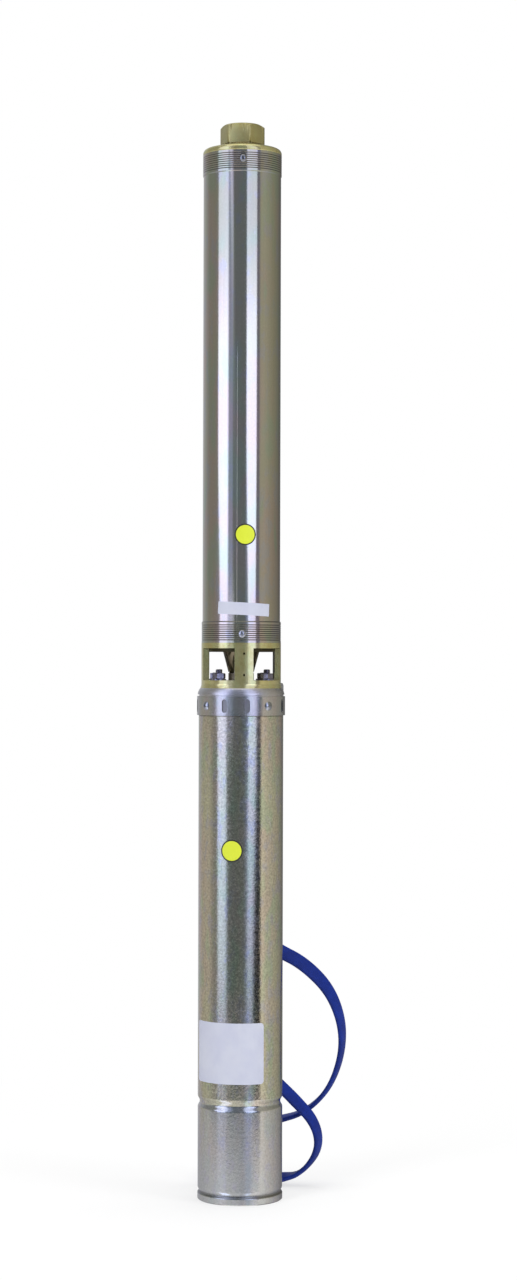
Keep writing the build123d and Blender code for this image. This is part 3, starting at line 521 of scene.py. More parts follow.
def pan_head_screw():
    crown_r = (SCREW_HEAD_R ** 2 + SCREW_HEAD_HEIGHT ** 2) / (2 * SCREW_HEAD_HEIGHT)
    screw = start_piece("pan_head_screw", bpy.ops.mesh.primitive_uv_sphere_add, segments=40,
                        ring_count=48, radius=crown_r, location=(0, 0, SCREW_HEAD_HEIGHT - crown_r))
    choose(screw)
    bpy.ops.mesh.bisect(plane_co=(0, 0, 0), plane_no=(0, 0, 1), use_fill=True, clear_inner=True)
    choose(screw, looks_down)
    bpy.ops.mesh.inset(thickness=SCREW_HEAD_R - SCREW_SHANK_R)
    choose(screw, lambda face: looks_down(face) and middle(face).length < 0.5 * MM)
    pull(-SCREW_LENGTH)
    cutter = cross_cutter()
    cutter.data.transform(Matrix.Translation((0, 0, SCREW_HEAD_HEIGHT)))
    cut_with(screw, cutter)
    ease_normals(screw, 35)
    return screw


screw = pan_head_screw()
screws = []
band_height = sum(heights("clamp_band_screws")) / 2
for number, turn in enumerate(BAND_SCREW_TURNS):
    place = on_wall(FIRST_BAND_SCREW + 90 * number, BAND_SEAT_R, band_height, turn)
    screws.append(placed(screw, f"band_screw_{number + 1}", place, "fastener_steel",
                         "clamp_band_screws"))
screws_low, screws_high = heights("casing_screws")
casing_screw_r = SCREW_HEAD_R * CASING_SCREW_SHARE
for name, radius, height, turn in (
        ("casing_screw_upper", UPPER_SEAT_R, screws_high - casing_screw_r, 45),
        ("casing_screw_lower", LOWER_SEAT_R, screws_low + casing_screw_r, 20)):
    place = on_wall(CASING_SCREW_AZIMUTH, radius, height, turn) @ Matrix.Scale(CASING_SCREW_SHARE, 4)
    screws.append(placed(screw, name, place, "fastener_steel", "casing_screws"))
upper_casing_screw = screws[-2]
bpy.data.objects.remove(screw)
print("screws", len(screws), "with", len(screws[0].data.polygons), "faces each")

# %% [markdown]
# ## Studs and nuts
# Four M8 studs come up out of the motor through the connector's flange. A thread is one sharp profile
# carried round by a screw modifier. A nut is a six-sided cylinder whose corners are turned off, which
# is the same as keeping what lies inside a cylinder with sloping ends.

# %% Make the studs and nuts
STUD_R = 4.0 * MM
STUD_ROOT_R = 3.35 * MM
STUD_PITCH = 1.25 * MM
STUD_CHAMFER = 0.6 * MM
STUD_CIRCLE_R = 38.1 * MM
FRONT_STUDS = (45, 315)
BACK_STUDS_LOWER = 3.9 * MM
NUT_FLATS = 13.0 * MM
NUT_HEIGHT = 6.5 * MM
NUT_SLOPE = 0.85 * MM
NUT_FACE_SHARE = 0.83
NUT_TURNS = {45: 18, 135: 40, 225: 10, 315: 24}
RIDGE_FOOT = 0.86
RIDGE_CREST = 0.16


def thread_ridge(name, root_r, crest_r, pitch, turns, low, steps=28):
    """Helical ridge: a flat strip stood on edge, its outer side narrowed, and carried round."""
    height = low + pitch / 2
    ridge = start_piece(name, bpy.ops.mesh.primitive_plane_add, size=1,
                        location=((root_r + crest_r) / 2, 0, height), rotation=(math.pi / 2, 0, 0),
                        scale=(abs(crest_r - root_r), pitch * RIDGE_FOOT, 1))
    choose(ridge, lambda corner: abs(corner.co.x - crest_r) < 0.01 * MM, "VERT")
    bpy.ops.transform.resize(value=(1, 1, RIDGE_CREST), center_override=(crest_r, 0, height))
    finish_with(ridge, "SCREW", axis="Z", steps=steps, render_steps=steps, screw_offset=pitch,
                iterations=turns, use_merge_vertices=False)
    return ridge


def joined(name, pieces):
    """One object made of several pieces."""
    hold(pieces[0])
    for piece in pieces[1:]:
        piece.select_set(True)
    bpy.ops.object.join()
    pieces[0].name = name
    return pieces[0]


def threaded_stud(low, seat, high):
    """Stud from low to high, plain up to the flange's face at seat and threaded above it."""
    core = round_bar("stud_core", 28, STUD_ROOT_R, high - low, (high + low) / 2)
    choose(core, lambda edge: middle(edge).z > high - 0.1 * MM, "EDGE")
    bpy.ops.mesh.bevel(offset=STUD_CHAMFER, segments=1, affect="EDGES")
    plain = round_bar("stud_shank", 28, STUD_R, seat - low, (seat + low) / 2)
    turns = int((high - seat - 0.9 * MM) / STUD_PITCH)
    ridge = thread_ridge("stud_thread", STUD_ROOT_R, STUD_R, STUD_PITCH, turns, seat)
    stud = joined("stud", [core, plain, ridge])
    ease_normals(stud, 30)
    return stud


def hexagon_nut():
    corner_r = NUT_FLATS / 2 / math.cos(math.pi / 6)
    nut = round_bar("nut", 6, corner_r, NUT_HEIGHT, NUT_HEIGHT / 2)
    turned = round_bar("nut_blank", 48, corner_r, NUT_HEIGHT - 2 * NUT_SLOPE, NUT_HEIGHT / 2)
    for side, test in ((1, looks_up), (-1, looks_down)):
        choose(turned, test)
        pull(side * NUT_SLOPE)
        widen(NUT_FACE_SHARE)
    cut_with(nut, turned, "INTERSECT")
    cut_with(nut, round_bar("nut_bore", 32, STUD_R + 0.05 * MM, 3 * NUT_HEIGHT, NUT_HEIGHT / 2))
    ease_normals(nut, 25)
    return nut


stud_low, stud_top = heights("flange_studs")
flange_face = heights("flange_washers")[0]
nut_seat = heights("flange_nuts")[0]
nut = hexagon_nut()
fasteners = []
for azimuth, turn in NUT_TURNS.items():
    stud_high = stud_top if azimuth in FRONT_STUDS else stud_top - BACK_STUDS_LOWER
    spot = Matrix.Rotation(math.radians(azimuth), 4, "Z") @ Matrix.Translation((0, -STUD_CIRCLE_R, 0))
    stud = threaded_stud(stud_low, flange_face, stud_high)
    # Any number of radians will do here: it only makes each thread start somewhere else.
    place = spot @ Matrix.Rotation(azimuth, 4, "Z")
    fasteners.append(placed(stud, f"flange_stud_{azimuth}", place, "fastener_steel", "flange_studs"))
    bpy.data.objects.remove(stud)
    place = spot @ Matrix.Translation((0, 0, nut_seat)) @ Matrix.Rotation(math.radians(turn), 4, "Z")
    fasteners.append(placed(nut, f"flange_nut_{azimuth}", place, "fastener_steel", "flange_nuts"))
bpy.data.objects.remove(nut)
print("studs and nuts", len(fasteners))

# %% [markdown]
# ## The outlet thread
# The riser pipe screws into the head's G 1 thread. A copy of the solid head has its corners merged, its
# bore is opened to the thread's outer size with a short lead-in, and a ridge brings it back to the
# inner size.

# %% Cut the outlet thread
PIPE_OUTER_R = 16.6 * MM
PIPE_INNER_R = 15.15 * MM
PIPE_PITCH = 2.309 * MM
PIPE_DEPTH = 19.0 * MM
PIPE_TURNS = 7
LEAD_IN = 2.0 * MM
LEAD_IN_SHARE = 1.1

pump_top = cad_box[1][2]
head = copied(nodes["discharge_head"], "threaded_head", Matrix())
head.parent = None
head.matrix_world = Matrix()
choose(head)
bpy.ops.mesh.remove_doubles(threshold=0.002 * MM)
opening = round_bar("opening", 72, PIPE_OUTER_R, PIPE_DEPTH, pump_top - PIPE_DEPTH / 2)
choose(opening, looks_up)
pull(LEAD_IN)
widen(LEAD_IN_SHARE)
cut_with(head, opening)
ridge = thread_ridge("outlet_ridge", PIPE_OUTER_R + 0.05 * MM, PIPE_INNER_R, PIPE_PITCH, PIPE_TURNS,
                     pump_top - PIPE_DEPTH + 0.5 * MM, 56)
ease_normals(ridge, 30)
ease_normals(head, 25)
belongs(head, "brass", "discharge_head")
belongs(ridge, "brass")
print("threaded head", len(head.data.polygons), "faces; its thread", len(ridge.data.polygons))

# %% [markdown]
# ## The cable gland
# A moulded boot sits in the notch of both flanges. It is a block with well rounded upper corners and a
# shallow grip groove round its outer side, which two small insets make.

# %% Make the gland
GLAND_DEPTH = 8.8 * MM
GLAND_HEIGHT = 14.8 * MM
GLAND_ROUNDING = 4.0 * MM
GLAND_RIM = 1.6 * MM
GLAND_GROOVE = 0.5 * MM


def gland_boot():
    """Boot lying with its outer side up, its height along Y."""
    boot = start_piece("gland_boot", bpy.ops.mesh.primitive_cube_add, size=1,
                       scale=(2 * GLAND_HALF_WIDTH, GLAND_HEIGHT, GLAND_DEPTH))

    def on_top_corner(edge):
        first, second = (corner.co.z for corner in edge.verts)
        return abs(first - second) > 1 * MM and middle(edge).y > 0

    choose(boot, on_top_corner, "EDGE")
    bpy.ops.mesh.bevel(offset=GLAND_ROUNDING, segments=6, affect="EDGES")
    choose(boot, looks_up)
    bpy.ops.mesh.inset(thickness=GLAND_RIM, depth=0)
    for depth in (-GLAND_GROOVE, GLAND_GROOVE):
        bpy.ops.mesh.inset(thickness=GLAND_GROOVE, depth=depth)
    finish_with(boot, "BEVEL", width=0.35 * MM, segments=2, limit_method="ANGLE",
                angle_limit=math.radians(50))
    ease_normals(boot, 35)
    return boot


boot = gland_boot()
gland_height = sum(heights("cable_gland")) / 2
place = on_wall(math.degrees(GLAND_AZIMUTH), GLAND_MIDDLE_R, gland_height)
gland = placed(boot, "cable_gland_boot", place, "gland_rubber", "cable_gland")
bpy.data.objects.remove(boot)
print("gland", len(gland.data.polygons), "faces")

# %% [markdown]
# ## Stickers
# The photographed pump carries stickers. Here they are blank: a white label on the motor, a white
# strip on the casing, and two plain yellow dots. A sticker starts flat, with rounded corners. It is
# cut to narrow strips, so that it can be rolled, and a bend modifier wraps it round the tube.

# %% Make the stickers
STICKER_THICKNESS = 0.15 * MM
STICKER_GLUE = 0.06 * MM
STRIP_DEGREES = 2.5
CASING_R = 44.0 * MM
MOTOR_R = 48.0 * MM


def rolled(sheet, wall_r, azimuth, height):
    """Cut a flat sheet to strips, stand it up and wrap it round a tube."""
    width = sheet.dimensions.x
    strips = max(8, int(width / wall_r / math.radians(STRIP_DEGREES)))
    for cut in range(1, strips):
        choose(sheet)
        bpy.ops.mesh.bisect(plane_co=(width * (cut / strips - 0.5), 0, 0), plane_no=(1, 0, 0))
    let_go()
    sheet.data.transform(Matrix.Rotation(math.pi / 2, 4, "X"))
    radius = wall_r + STICKER_GLUE
    finish_with(sheet, "SIMPLE_DEFORM", deform_method="BEND", angle=width / radius, deform_axis="Z")
    finish_with(sheet, "SOLIDIFY", thickness=STICKER_THICKNESS, offset=1.0)
    out = Matrix.Translation((0, -radius, height))
    sheet.data.transform(Matrix.Rotation(math.radians(azimuth), 4, "Z") @ out)
    ease_normals(sheet, 30)
    belongs(sheet, "zinc_casing")
    return sheet


def label(name, wall_r, azimuth, height, width, tall, corner, tilt=0.0):
    sheet = start_piece(name, bpy.ops.mesh.primitive_plane_add, size=1, scale=(width, tall, 1))
    choose(sheet, mode="VERT")
    bpy.ops.mesh.bevel(offset=corner, segments=6, affect="VERTICES")
    let_go()
    sheet.data.transform(Matrix.Rotation(math.radians(tilt), 4, "Z"))
    return rolled(sheet, wall_r, azimuth, height)


def dot(name, wall_r, azimuth, height, radius):
    sheet = start_piece(name, bpy.ops.mesh.primitive_circle_add, vertices=64, radius=radius,
                        fill_type="NGON")
    return rolled(sheet, wall_r, azimuth, height)


white_stickers = [
    label("motor_label", MOTOR_R, -24.8, 169.9 * MM, 90 * MM, 68.4 * MM, 4 * MM),
    label("casing_strip", CASING_R, 0.2, 667.8 * MM, 62 * MM, 14.0 * MM, 0.8 * MM, tilt=-2.8),
]
yellow_dots = [
    dot("casing_dot", CASING_R, 1.3, 751 * MM, 12 * MM),
    dot("motor_dot", MOTOR_R, -16.4, 397 * MM, 12.5 * MM),
]
print("stickers", [len(piece.data.polygons) for piece in white_stickers + yellow_dots])

# %% [markdown]
# ## Shader maths as Python
# A metal's look is arithmetic on noise, and node trees hide arithmetic. This small class wraps one
# output of a node, so that a sum written in Python adds the Math nodes that do it. Its one method for
# every other node takes the node's type, its settings and the values or wires of its inputs.

# %% The wire class
class Wire:
    """One output socket in a node tree, with Python's operators as Math nodes."""

    def __init__(self, tree, socket=None):
        self.tree = tree
        self.socket = socket

    def node(self, kind, settings=None, inputs=None, output=0):
        made = self.tree.nodes.new("ShaderNode" + kind)
        for name, value in (settings or {}).items():
            if name == "stops":
                ramp = made.color_ramp
                while len(ramp.elements) < len(value):
                    ramp.elements.new(0.5)
                for element, (position, colour) in zip(ramp.elements, value):
                    element.position = position
                    element.color = (*colour, 1.0)
            else:
                setattr(made, name, value)
        for name, value in (inputs or {}).items():
            if isinstance(value, Wire):
                self.tree.links.new(value.socket, made.inputs[name])
            else:
                made.inputs[name].default_value = value
        return Wire(self.tree, made.outputs[output])

    def output(self, name):
        """Another output of the node that this wire comes from."""
        return Wire(self.tree, self.socket.node.outputs[name])

    def maths(self, operation, *values, clamp=False):
        settings = {"operation": operation, "use_clamp": clamp}
        return self.node("Math", settings, dict(enumerate(values)))

    def vectors(self, operation, inputs, output=0):
        return self.node("VectorMath", {"operation": operation}, inputs, output)

    def __add__(self, other):
        return self.maths("ADD", self, other)

    def __sub__(self, other):
        return self.maths("SUBTRACT", self, other)

    def __rsub__(self, other):
        return self.maths("SUBTRACT", other, self)

    def __mul__(self, other):
        return self.maths("MULTIPLY", self, other)

    def __truediv__(self, other):
        return self.maths("DIVIDE", self, other)

    __radd__ = __add__
    __rmul__ = __mul__


print("wire class ready")

# %% [markdown]
# ## Helpers for finishes
# All finishes here are made of the same few things: noise on the piece's own coordinates, a mask that
# fades between two limits, a mix of two colours and a little bump. Each is one short function, so a
# finish reads as a recipe. A piece takes its finish with one more, which also knows the frame's nodes
# by name.

# %% Shader helpers
def grey(level):
    return (level, level, level)


def rgba(colour):
    return (*colour, 1.0)


def blended(wire, factor, first, second):
    """Mix of two colours, each given as three numbers or a wire."""
    first = first if isinstance(first, Wire) else rgba(first)
    second = second if isinstance(second, Wire) else rgba(second)
    return wire.node("Mix", {"data_type": "RGBA"}, {0: factor, 6: first, 7: second}, output=2)


def between(value, low, high):
    """Where a value lies between two limits, from 0 to 1, eased at both ends."""
    return value.node("MapRange", {"interpolation_type": "SMOOTHSTEP"},
                      {"Value": value, "From Min": low, "From Max": high})


def past(value, edge, softness):
    """0 before an edge and 1 past it."""
    return between(value, edge - softness, edge + softness)


def strip_between(value, low, high, softness):
    """1 between two limits and 0 outside them, with soft edges."""
    return past(value, low, softness) * (1.0 - past(value, high, softness))


def place_on_piece(wire, stretch=(1, 1, 1)):
    """The piece's own coordinates in metres, stretched for streaks that run one way."""
    spot = wire.node("TexCoord", output="Object")
    return wire.node("Mapping", None, {"Vector": spot, "Scale": stretch})


def axes_of(wire):
    """The surface's own X, Y and Z in metres: across the front, away from it, and up."""
    axes = wire.node("SeparateXYZ", None, {0: wire.node("TexCoord", output="Object")})
    return [axes.output(name) for name in "XYZ"]


def from_axis(wire):
    """Distance from the pump's axis."""
    across, depth, _ = axes_of(wire)
    return wire.maths("SQRT", across * across + depth * depth)


def noise(spot, scale, detail=2.0, roughness=0.5):
    return spot.node("TexNoise", None, {"Vector": spot, "Scale": scale, "Detail": detail,
                                        "Roughness": roughness}, output="Fac")


def bumped(wire, height, distance):
    return wire.node("Bump", None, {"Height": height, "Distance": distance, "Strength": 1.0},
                     output="Normal")


def start_finish(name):
    """A new material: its wire, its Principled shader and itself."""
    material = bpy.data.materials.new(name)
    material.use_nodes = True
    return Wire(material.node_tree), material.node_tree.nodes["Principled BSDF"], material


def feed(wire, shader, **values):
    """Set or wire the shader's inputs; a name's underscores stand for spaces."""
    for name, value in values.items():
        socket = shader.inputs[name.replace("_", " ")]
        if isinstance(value, Wire):
            wire.tree.links.new(value.socket, socket)
        else:
            socket.default_value = rgba(value) if isinstance(value, tuple) else value


def dress(material, *pieces):
    """Put a finish on new pieces and on CAD nodes, which are given by name."""
    for piece in pieces:
        piece = nodes.get(piece, piece)
        if not piece.material_slots:
            piece.data.materials.append(material)
        for held in piece.material_slots:
            held.material = material


print("shader helpers ready")

# %% [markdown]
# ## Zinc-plated steel
# Both tubes are steel with a thin zinc coat, passivated yellow. The coat isn't one colour: it drifts
# between olive, straw and a faint pink, as oil on water does but much weaker. It is smooth on the drawn
# pump casing, grainy on the motor tube and matte on the pressed cup. One recipe makes them all: slow
# noise for the drift of colour, fine noise for the grain, and faint streaks down the drawing direction.

# %% The zinc recipe
# How far the painted shade darkens and dulls the zinc, and how far rubbing dulls it.
PAINTED_SHADE_DARKENS = 0.52
PAINTED_SHADE_DULLS = 0.15
WEAR_DULLS = 0.5


def zinc(name, tones, roughness, grain, grain_size, streaks, drift_scale, painted_shade=None, worn=None):
    """Zinc coat. The last two arguments, where given, make masks: one of the places with painted shade,
    which are darker and duller, and one of the rubbed places, which are only duller.
    """
    wire, shader, material = start_finish(name)
    drift = noise(place_on_piece(wire, (1, 1, 0.35)), drift_scale, 3.0, 0.6)
    second = noise(place_on_piece(wire, (1.3, 1.3, 0.5)), drift_scale * 1.7, 2.0, 0.5)
    third = noise(place_on_piece(wire, (1.1, 1.1, 0.6)), drift_scale * 2.9, 3.0, 0.6)
    speckle = noise(place_on_piece(wire), 1.0 / grain_size, 3.0, 0.7)
    lines = noise(place_on_piece(wire, (1, 1, 0.012)), 520.0, 2.0, 0.6)
    colour = blended(wire, between(drift, 0.38, 0.62), tones[0], tones[1])
    colour = blended(wire, between(second, 0.48, 0.68) * 0.75, colour, tones[2])
    colour = blended(wire, between(third, 0.50, 0.68) * 0.7, colour, tones[3])
    shade = 1.0 + (speckle - 0.5) * (1.7 * grain) + (lines - 0.5) * streaks
    rough = roughness + (speckle - 0.5) * (0.35 * grain) + (drift - 0.5) * 0.12
    rough = rough + (lines - 0.5) * (0.5 * streaks)
    # Painted shade: the mask darkens the colour and dulls the coat.
    if painted_shade:
        dark = painted_shade(wire)
        shade = shade * (1.0 - dark * PAINTED_SHADE_DARKENS)
        rough = rough + dark * PAINTED_SHADE_DULLS
    if worn:
        rough = rough + worn(wire) * WEAR_DULLS
    dimmed = wire.vectors("SCALE", {0: colour, "Scale": shade})
    height = speckle * grain + lines * (0.3 * streaks)
    feed(wire, shader, Base_Color=dimmed, Metallic=1.0, Roughness=rough,
         Normal=bumped(wire, height, 0.14 * MM))
    return material


print("zinc recipe ready")

# %% [markdown]
# ## Painted shade and a scratch on the zinc
# Shade is painted into the coat as darker, duller colour: in the rolled grooves and on their steps, in
# the fold above the foot, just below the clamp band and on the floors of the crimped dents. The drawing
# die left one hair-thin scratch, which is only duller. Each is a mask on height, on distance from the
# axis or on place across the front.
# Painting them by hand would need a texture; a few limits in metres need none.

# %% Mark the zinc
GROOVE_PITCH = 2.4 * MM
GROOVE_MARGIN = 3.2 * MM
GROOVE_COUNT = 8
GROOVED_END = 24.2 * MM
STEP_HEIGHT = 1.4 * MM
MARK_EDGE = 0.2 * MM
SCRATCH_SIDES = (-8.65 * MM, -7.95 * MM)
SCRATCH_ENDS = (655 * MM, 960 * MM)
FOOT_FOLD = (7.5 * MM, 11.5 * MM)


def shade_in_the_grooves(wire):
    """Painted shade in the rolled grooves at both ends of the casing and on the steps beside them."""
    height = axes_of(wire)[2]
    low, high = heights("pump_casing")
    reach = (GROOVE_COUNT - 1) * GROOVE_PITCH
    marks = []
    for first in (low + GROOVE_MARGIN, high - GROOVE_MARGIN - reach):
        away = wire.maths("PINGPONG", height - first, GROOVE_PITCH / 2)
        groove = 1.0 - between(away, 0.25 * MM, 0.8 * MM)
        ends = strip_between(height, first - 1.0 * MM, first + reach + 1.0 * MM, MARK_EDGE)
        marks.append(groove * ends)
    # The steps' reflected light lines are darkened with painted shade, the upper one less.
    for edge, depth in ((low + GROOVED_END - 1.2 * MM, 1.0), (high - GROOVED_END - 0.2 * MM, 0.35)):
        marks.append(strip_between(height, edge, edge + STEP_HEIGHT, MARK_EDGE) * depth)
    return sum(marks[1:], marks[0])


def on_the_scratch(wire):
    """A hair-thin scratch down the front of the casing."""
    across, _, height = axes_of(wire)
    line = strip_between(across, *SCRATCH_SIDES, 0.15 * MM)
    return line * strip_between(height, *SCRATCH_ENDS, 15 * MM)


def shadow_under_the_band(wire):
    """Painted shadow on the motor tube just below the clamp band's edge."""
    edge = heights("clamp_band")[0]
    return between(axes_of(wire)[2], edge - 1.6 * MM, edge - 0.7 * MM)


def shade_in_the_crimps(wire):
    """Painted shade on the floors of the band's dents."""
    return 1.0 - between(from_axis(wire), 49.2 * MM, 49.7 * MM)


def shade_at_the_foot(wire):
    """Painted shade in the fold above the cup's foot."""
    return strip_between(axes_of(wire)[2], *FOOT_FOLD, 0.8 * MM)


print("grooves reach", round((GROOVE_COUNT - 1) * GROOVE_PITCH * 1000, 1), "mm along each end")

# %% [markdown]
# ## The five zinc coats
# The same recipe serves five pieces. What differs is how rough and grainy each one was before it was
# plated, how far its colour drifts, and which of the masks above, of painted shade and of wear, it
# carries.

# %% Mix the zinc
casing_tones = ((0.61, 0.59, 0.46), (0.66, 0.56, 0.49), (0.53, 0.61, 0.48), (0.58, 0.57, 0.59))
motor_tones = ((0.66, 0.64, 0.48), (0.69, 0.60, 0.50), (0.55, 0.635, 0.46), (0.58, 0.565, 0.61))
cup_tones = ((0.64, 0.65, 0.62), (0.68, 0.64, 0.60), (0.58, 0.62, 0.60), (0.62, 0.60, 0.67))
band_tones = ((0.60, 0.60, 0.56), (0.62, 0.57, 0.54), (0.54, 0.58, 0.58), (0.60, 0.53, 0.56))
lid_tones = ((0.68, 0.66, 0.67), (0.70, 0.66, 0.66), (0.62, 0.62, 0.65), (0.66, 0.64, 0.60))

# Name, tones, roughness, grain, size of a grain, streaks, scale of the drift, masks of painted shade
# and of wear.
dress(zinc("zinc_drawn_tube", casing_tones, 0.085, 0.16, 1.6 * MM, 0.10, 22.0, shade_in_the_grooves,
           on_the_scratch), "pump_casing")
dress(zinc("zinc_motor_tube", motor_tones, 0.12, 0.68, 2.6 * MM, 0.06, 30.0, shadow_under_the_band),
      "motor_casing")
dress(zinc("zinc_pressed_cup", cup_tones, 0.15, 0.40, 2.8 * MM, 0.04, 34.0, shade_at_the_foot),
      "bottom_cup", "bottom_cap")
dress(zinc("zinc_clamp_band", band_tones, 0.19, 0.35, 1.4 * MM, 0.03, 40.0, shade_in_the_crimps),
      "clamp_band")
dress(zinc("zinc_motor_lid", lid_tones, 0.30, 0.30, 2.0 * MM, 0.02, 40.0), "motor_top_flange")
print("zinc finishes", [material.name for material in bpy.data.materials if "zinc_" in material.name])

# %% [markdown]
# ## Cast brass
# The suction connector and the discharge head are cast brass, machined bright where they fit and dull
# yellow where they don't, with greener patches where the metal has started to tarnish. Behind the four
# windows the casting is rough, with painted shade in the chamber and pale painted highlights streaked
# down the hub, and painted shade also darkens the neck under the hexagon. All of it is one material
# with masks, because the real thing is one metal whose surface changes from place to place.

# %% Mix the brass
CHAMBER_HEIGHTS = (595 * MM, 656 * MM)
HOLE_HEIGHTS = (589 * MM, 622 * MM)
RING_SHADE = (623.0 * MM, 624.2 * MM)
NECK_HEIGHTS = (1191.5 * MM, 1194.5 * MM)
HEXAGON_FROM = (1192 * MM, 1196 * MM)
BRIGHT_BRASS = (0.74, 0.68, 0.36)
DULL_BRASS = (0.60, 0.52, 0.22)
GREENER_BRASS = (0.66, 0.70, 0.33)
HEXAGON_BRASS = (0.38, 0.32, 0.10)
# Painted shade in the neck under the hexagon.
NECK_SHADE = (0.16, 0.11, 0.04)
# Painted shade in the chamber behind the windows, and pale painted highlights streaked down the hub.
CHAMBER_SHADE = (0.045, 0.036, 0.018)
HUB_HIGHLIGHT = (0.42, 0.33, 0.20)


def brass_shade_mask(wire, across, distance, height):
    """Where shade is painted: in the chamber behind the windows, under the ring and in the holes at the
    front.
    """
    chamber = 1.0 - between(distance, 38.6 * MM, 39.2 * MM)
    chamber = chamber * strip_between(height, *CHAMBER_HEIGHTS, 2 * MM)
    within = 1.0 - between(distance, 44.0 * MM, 44.7 * MM)
    under = within * strip_between(height, *RING_SHADE, 0.3 * MM)
    holes = within * strip_between(across, -2.2 * MM, 2.2 * MM, 0.2 * MM)
    holes = holes * strip_between(height, *HOLE_HEIGHTS, 1 * MM)
    return wire.maths("MAXIMUM", wire.maths("MAXIMUM", chamber, under), holes)


def cast_brass():
    """Brass that is bright outside; inside the suction chamber it is rough and carries painted shade
    and painted highlights.
    """
    wire, shader, material = start_finish("brass_casting")
    across, _, height = axes_of(wire)
    distance = from_axis(wire)
    cloud = noise(place_on_piece(wire), 55.0, 4.0, 0.6)
    fine = noise(place_on_piece(wire), 700.0, 2.0, 0.6)
    patches = between(noise(place_on_piece(wire, (1, 1, 0.5)), 130.0, 3.0, 0.6), 0.50, 0.62)
    # The mask of painted shade behind the windows, where the brass is also rougher.
    inside = brass_shade_mask(wire, across, distance, height)
    hexagon = between(height, *HEXAGON_FROM)
    neck = strip_between(height, *NECK_HEIGHTS, 0.8 * MM)
    colour = blended(wire, between(cloud, 0.3, 0.72), BRIGHT_BRASS, DULL_BRASS)
    colour = blended(wire, patches * 0.45, colour, GREENER_BRASS)
    colour = blended(wire, hexagon * 0.5, colour, HEXAGON_BRASS)
    # Painted shade darkens the neck under the hexagon.
    colour = blended(wire, neck * 0.75, colour, NECK_SHADE)
    hub = 1.0 - between(distance, 27.0 * MM, 29.0 * MM)
    # Pale painted highlights streaked down the hub, inside the painted shade.
    streaks = between(noise(place_on_piece(wire, (1, 1, 0.04)), 210.0, 2.0, 0.6), 0.48, 0.60) * hub
    shadow = blended(wire, streaks, CHAMBER_SHADE, HUB_HIGHLIGHT)
    colour = blended(wire, inside * 0.95, colour, shadow)
    rough = 0.13 + (cloud - 0.5) * 0.10 + inside * 0.35 + hexagon * 0.28
    feed(wire, shader, Base_Color=colour, Metallic=0.86 + inside * 0.14, Roughness=rough,
         Normal=bumped(wire, fine * 0.3 + cloud * 0.3, 0.12 * MM))
    return material


brass = cast_brass()
dress(brass, "discharge_head", "suction_connector", head, ridge)
print("brass has", len(brass.node_tree.nodes), "shader nodes")

# %% [markdown]
# ## Steel, bronze and copper
# The fasteners are plated steel, the studs and nuts darker than the screws. The upper casing screw has
# a darker copy of the screws' finish, which is painted shade. The inner parts show only when the pump
# is taken apart, but each has its own metal, so that a cut through the pump reads well. They differ in
# colour, polish and the way that their marks run, so one recipe with a few settings makes them all:
# the last setting stretches the marks round a shaft or along a winding.

# %% Mix the other metals
def metal(name, light, dark, roughness, scale, grain, streaks=(1, 1, 1)):
    wire, shader, material = start_finish(name)
    cloud = noise(place_on_piece(wire, streaks), scale, 4.0, 0.6)
    fine = noise(place_on_piece(wire), scale * 12, 2.0, 0.6)
    colour = blended(wire, between(cloud, 0.35, 0.7), light, dark)
    rough = roughness + (cloud - 0.5) * 0.25 + (fine - 0.5) * grain * 0.4
    feed(wire, shader, Base_Color=colour, Metallic=1.0, Roughness=rough,
         Normal=bumped(wire, fine * grain + cloud * (grain * 0.5), 0.15 * MM))
    return material


# Name, light and dark colour, roughness, scale of the clouds, grain, stretch.
dress(metal("plated_screws", (0.56, 0.57, 0.60), (0.40, 0.41, 0.44), 0.18, 200.0, 0.2),
      "casing_screws", "clamp_band_screws", *screws)
# Painted shade: the upper casing screw gets a darker copy of the screws' plating.
dress(metal("shaded_screw", grey(0.36), (0.20, 0.20, 0.21), 0.14, 250.0, 0.2), upper_casing_screw)
dress(metal("plated_fasteners", (0.33, 0.31, 0.36), (0.17, 0.16, 0.20), 0.30, 300.0, 0.3),
      "flange_studs", "flange_nuts", "flange_washers", "shaft_nut", *fasteners)
dress(metal("ground_shaft", grey(0.62), (0.52, 0.52, 0.53), 0.2, 80.0, 0.2, (1, 1, 12)),
      "motor_shaft", "pump_shaft", "valve_seat", "valve_poppet")
dress(metal("machined_iron", grey(0.22), grey(0.12), 0.45, 90.0, 0.8),
      "lower_bracket", "thrust_carrier")
dress(metal("stacked_laminations", (0.32, 0.33, 0.35), (0.16, 0.16, 0.18), 0.4, 60.0, 0.4,
            (0.2, 0.2, 30)), "stator_core", "rotor_core")
dress(metal("varnished_copper", (0.72, 0.33, 0.17), (0.45, 0.17, 0.07), 0.35, 150.0, 0.7,
            (1, 1, 0.2)), "stator_winding", *bare_tips)
dress(metal("bearing_bronze", (0.58, 0.40, 0.18), (0.42, 0.27, 0.12), 0.3, 100.0, 0.3),
      "upper_bush", "lower_bush", "thrust_pads", "thrust_disc")
# Tan with long dark streaks along the coupling.
dress(metal("streaked_coupling", (0.52, 0.45, 0.33), (0.15, 0.12, 0.09), 0.42, 150.0, 0.5,
            (1, 1, 0.06)), "shaft_coupling")
print("finishes so far", len(bpy.data.materials))

# %% [markdown]
# ## Rubber, plastic and paper
# What isn't metal needs less: a faint cloud of colour, a fine grain in the bump and a little change in
# the gloss. The stage parts are a dark filled plastic, the lead's sheath is blue and the stickers are
# paper. A dot's thin dark rim is drawn with the flat map that its circle was made with, because that
# map was rolled round the tube together with the sticker.

# %% Mix the soft finishes
SHEATH_SHEEN = 0.25
STAGES = range(1, 11)


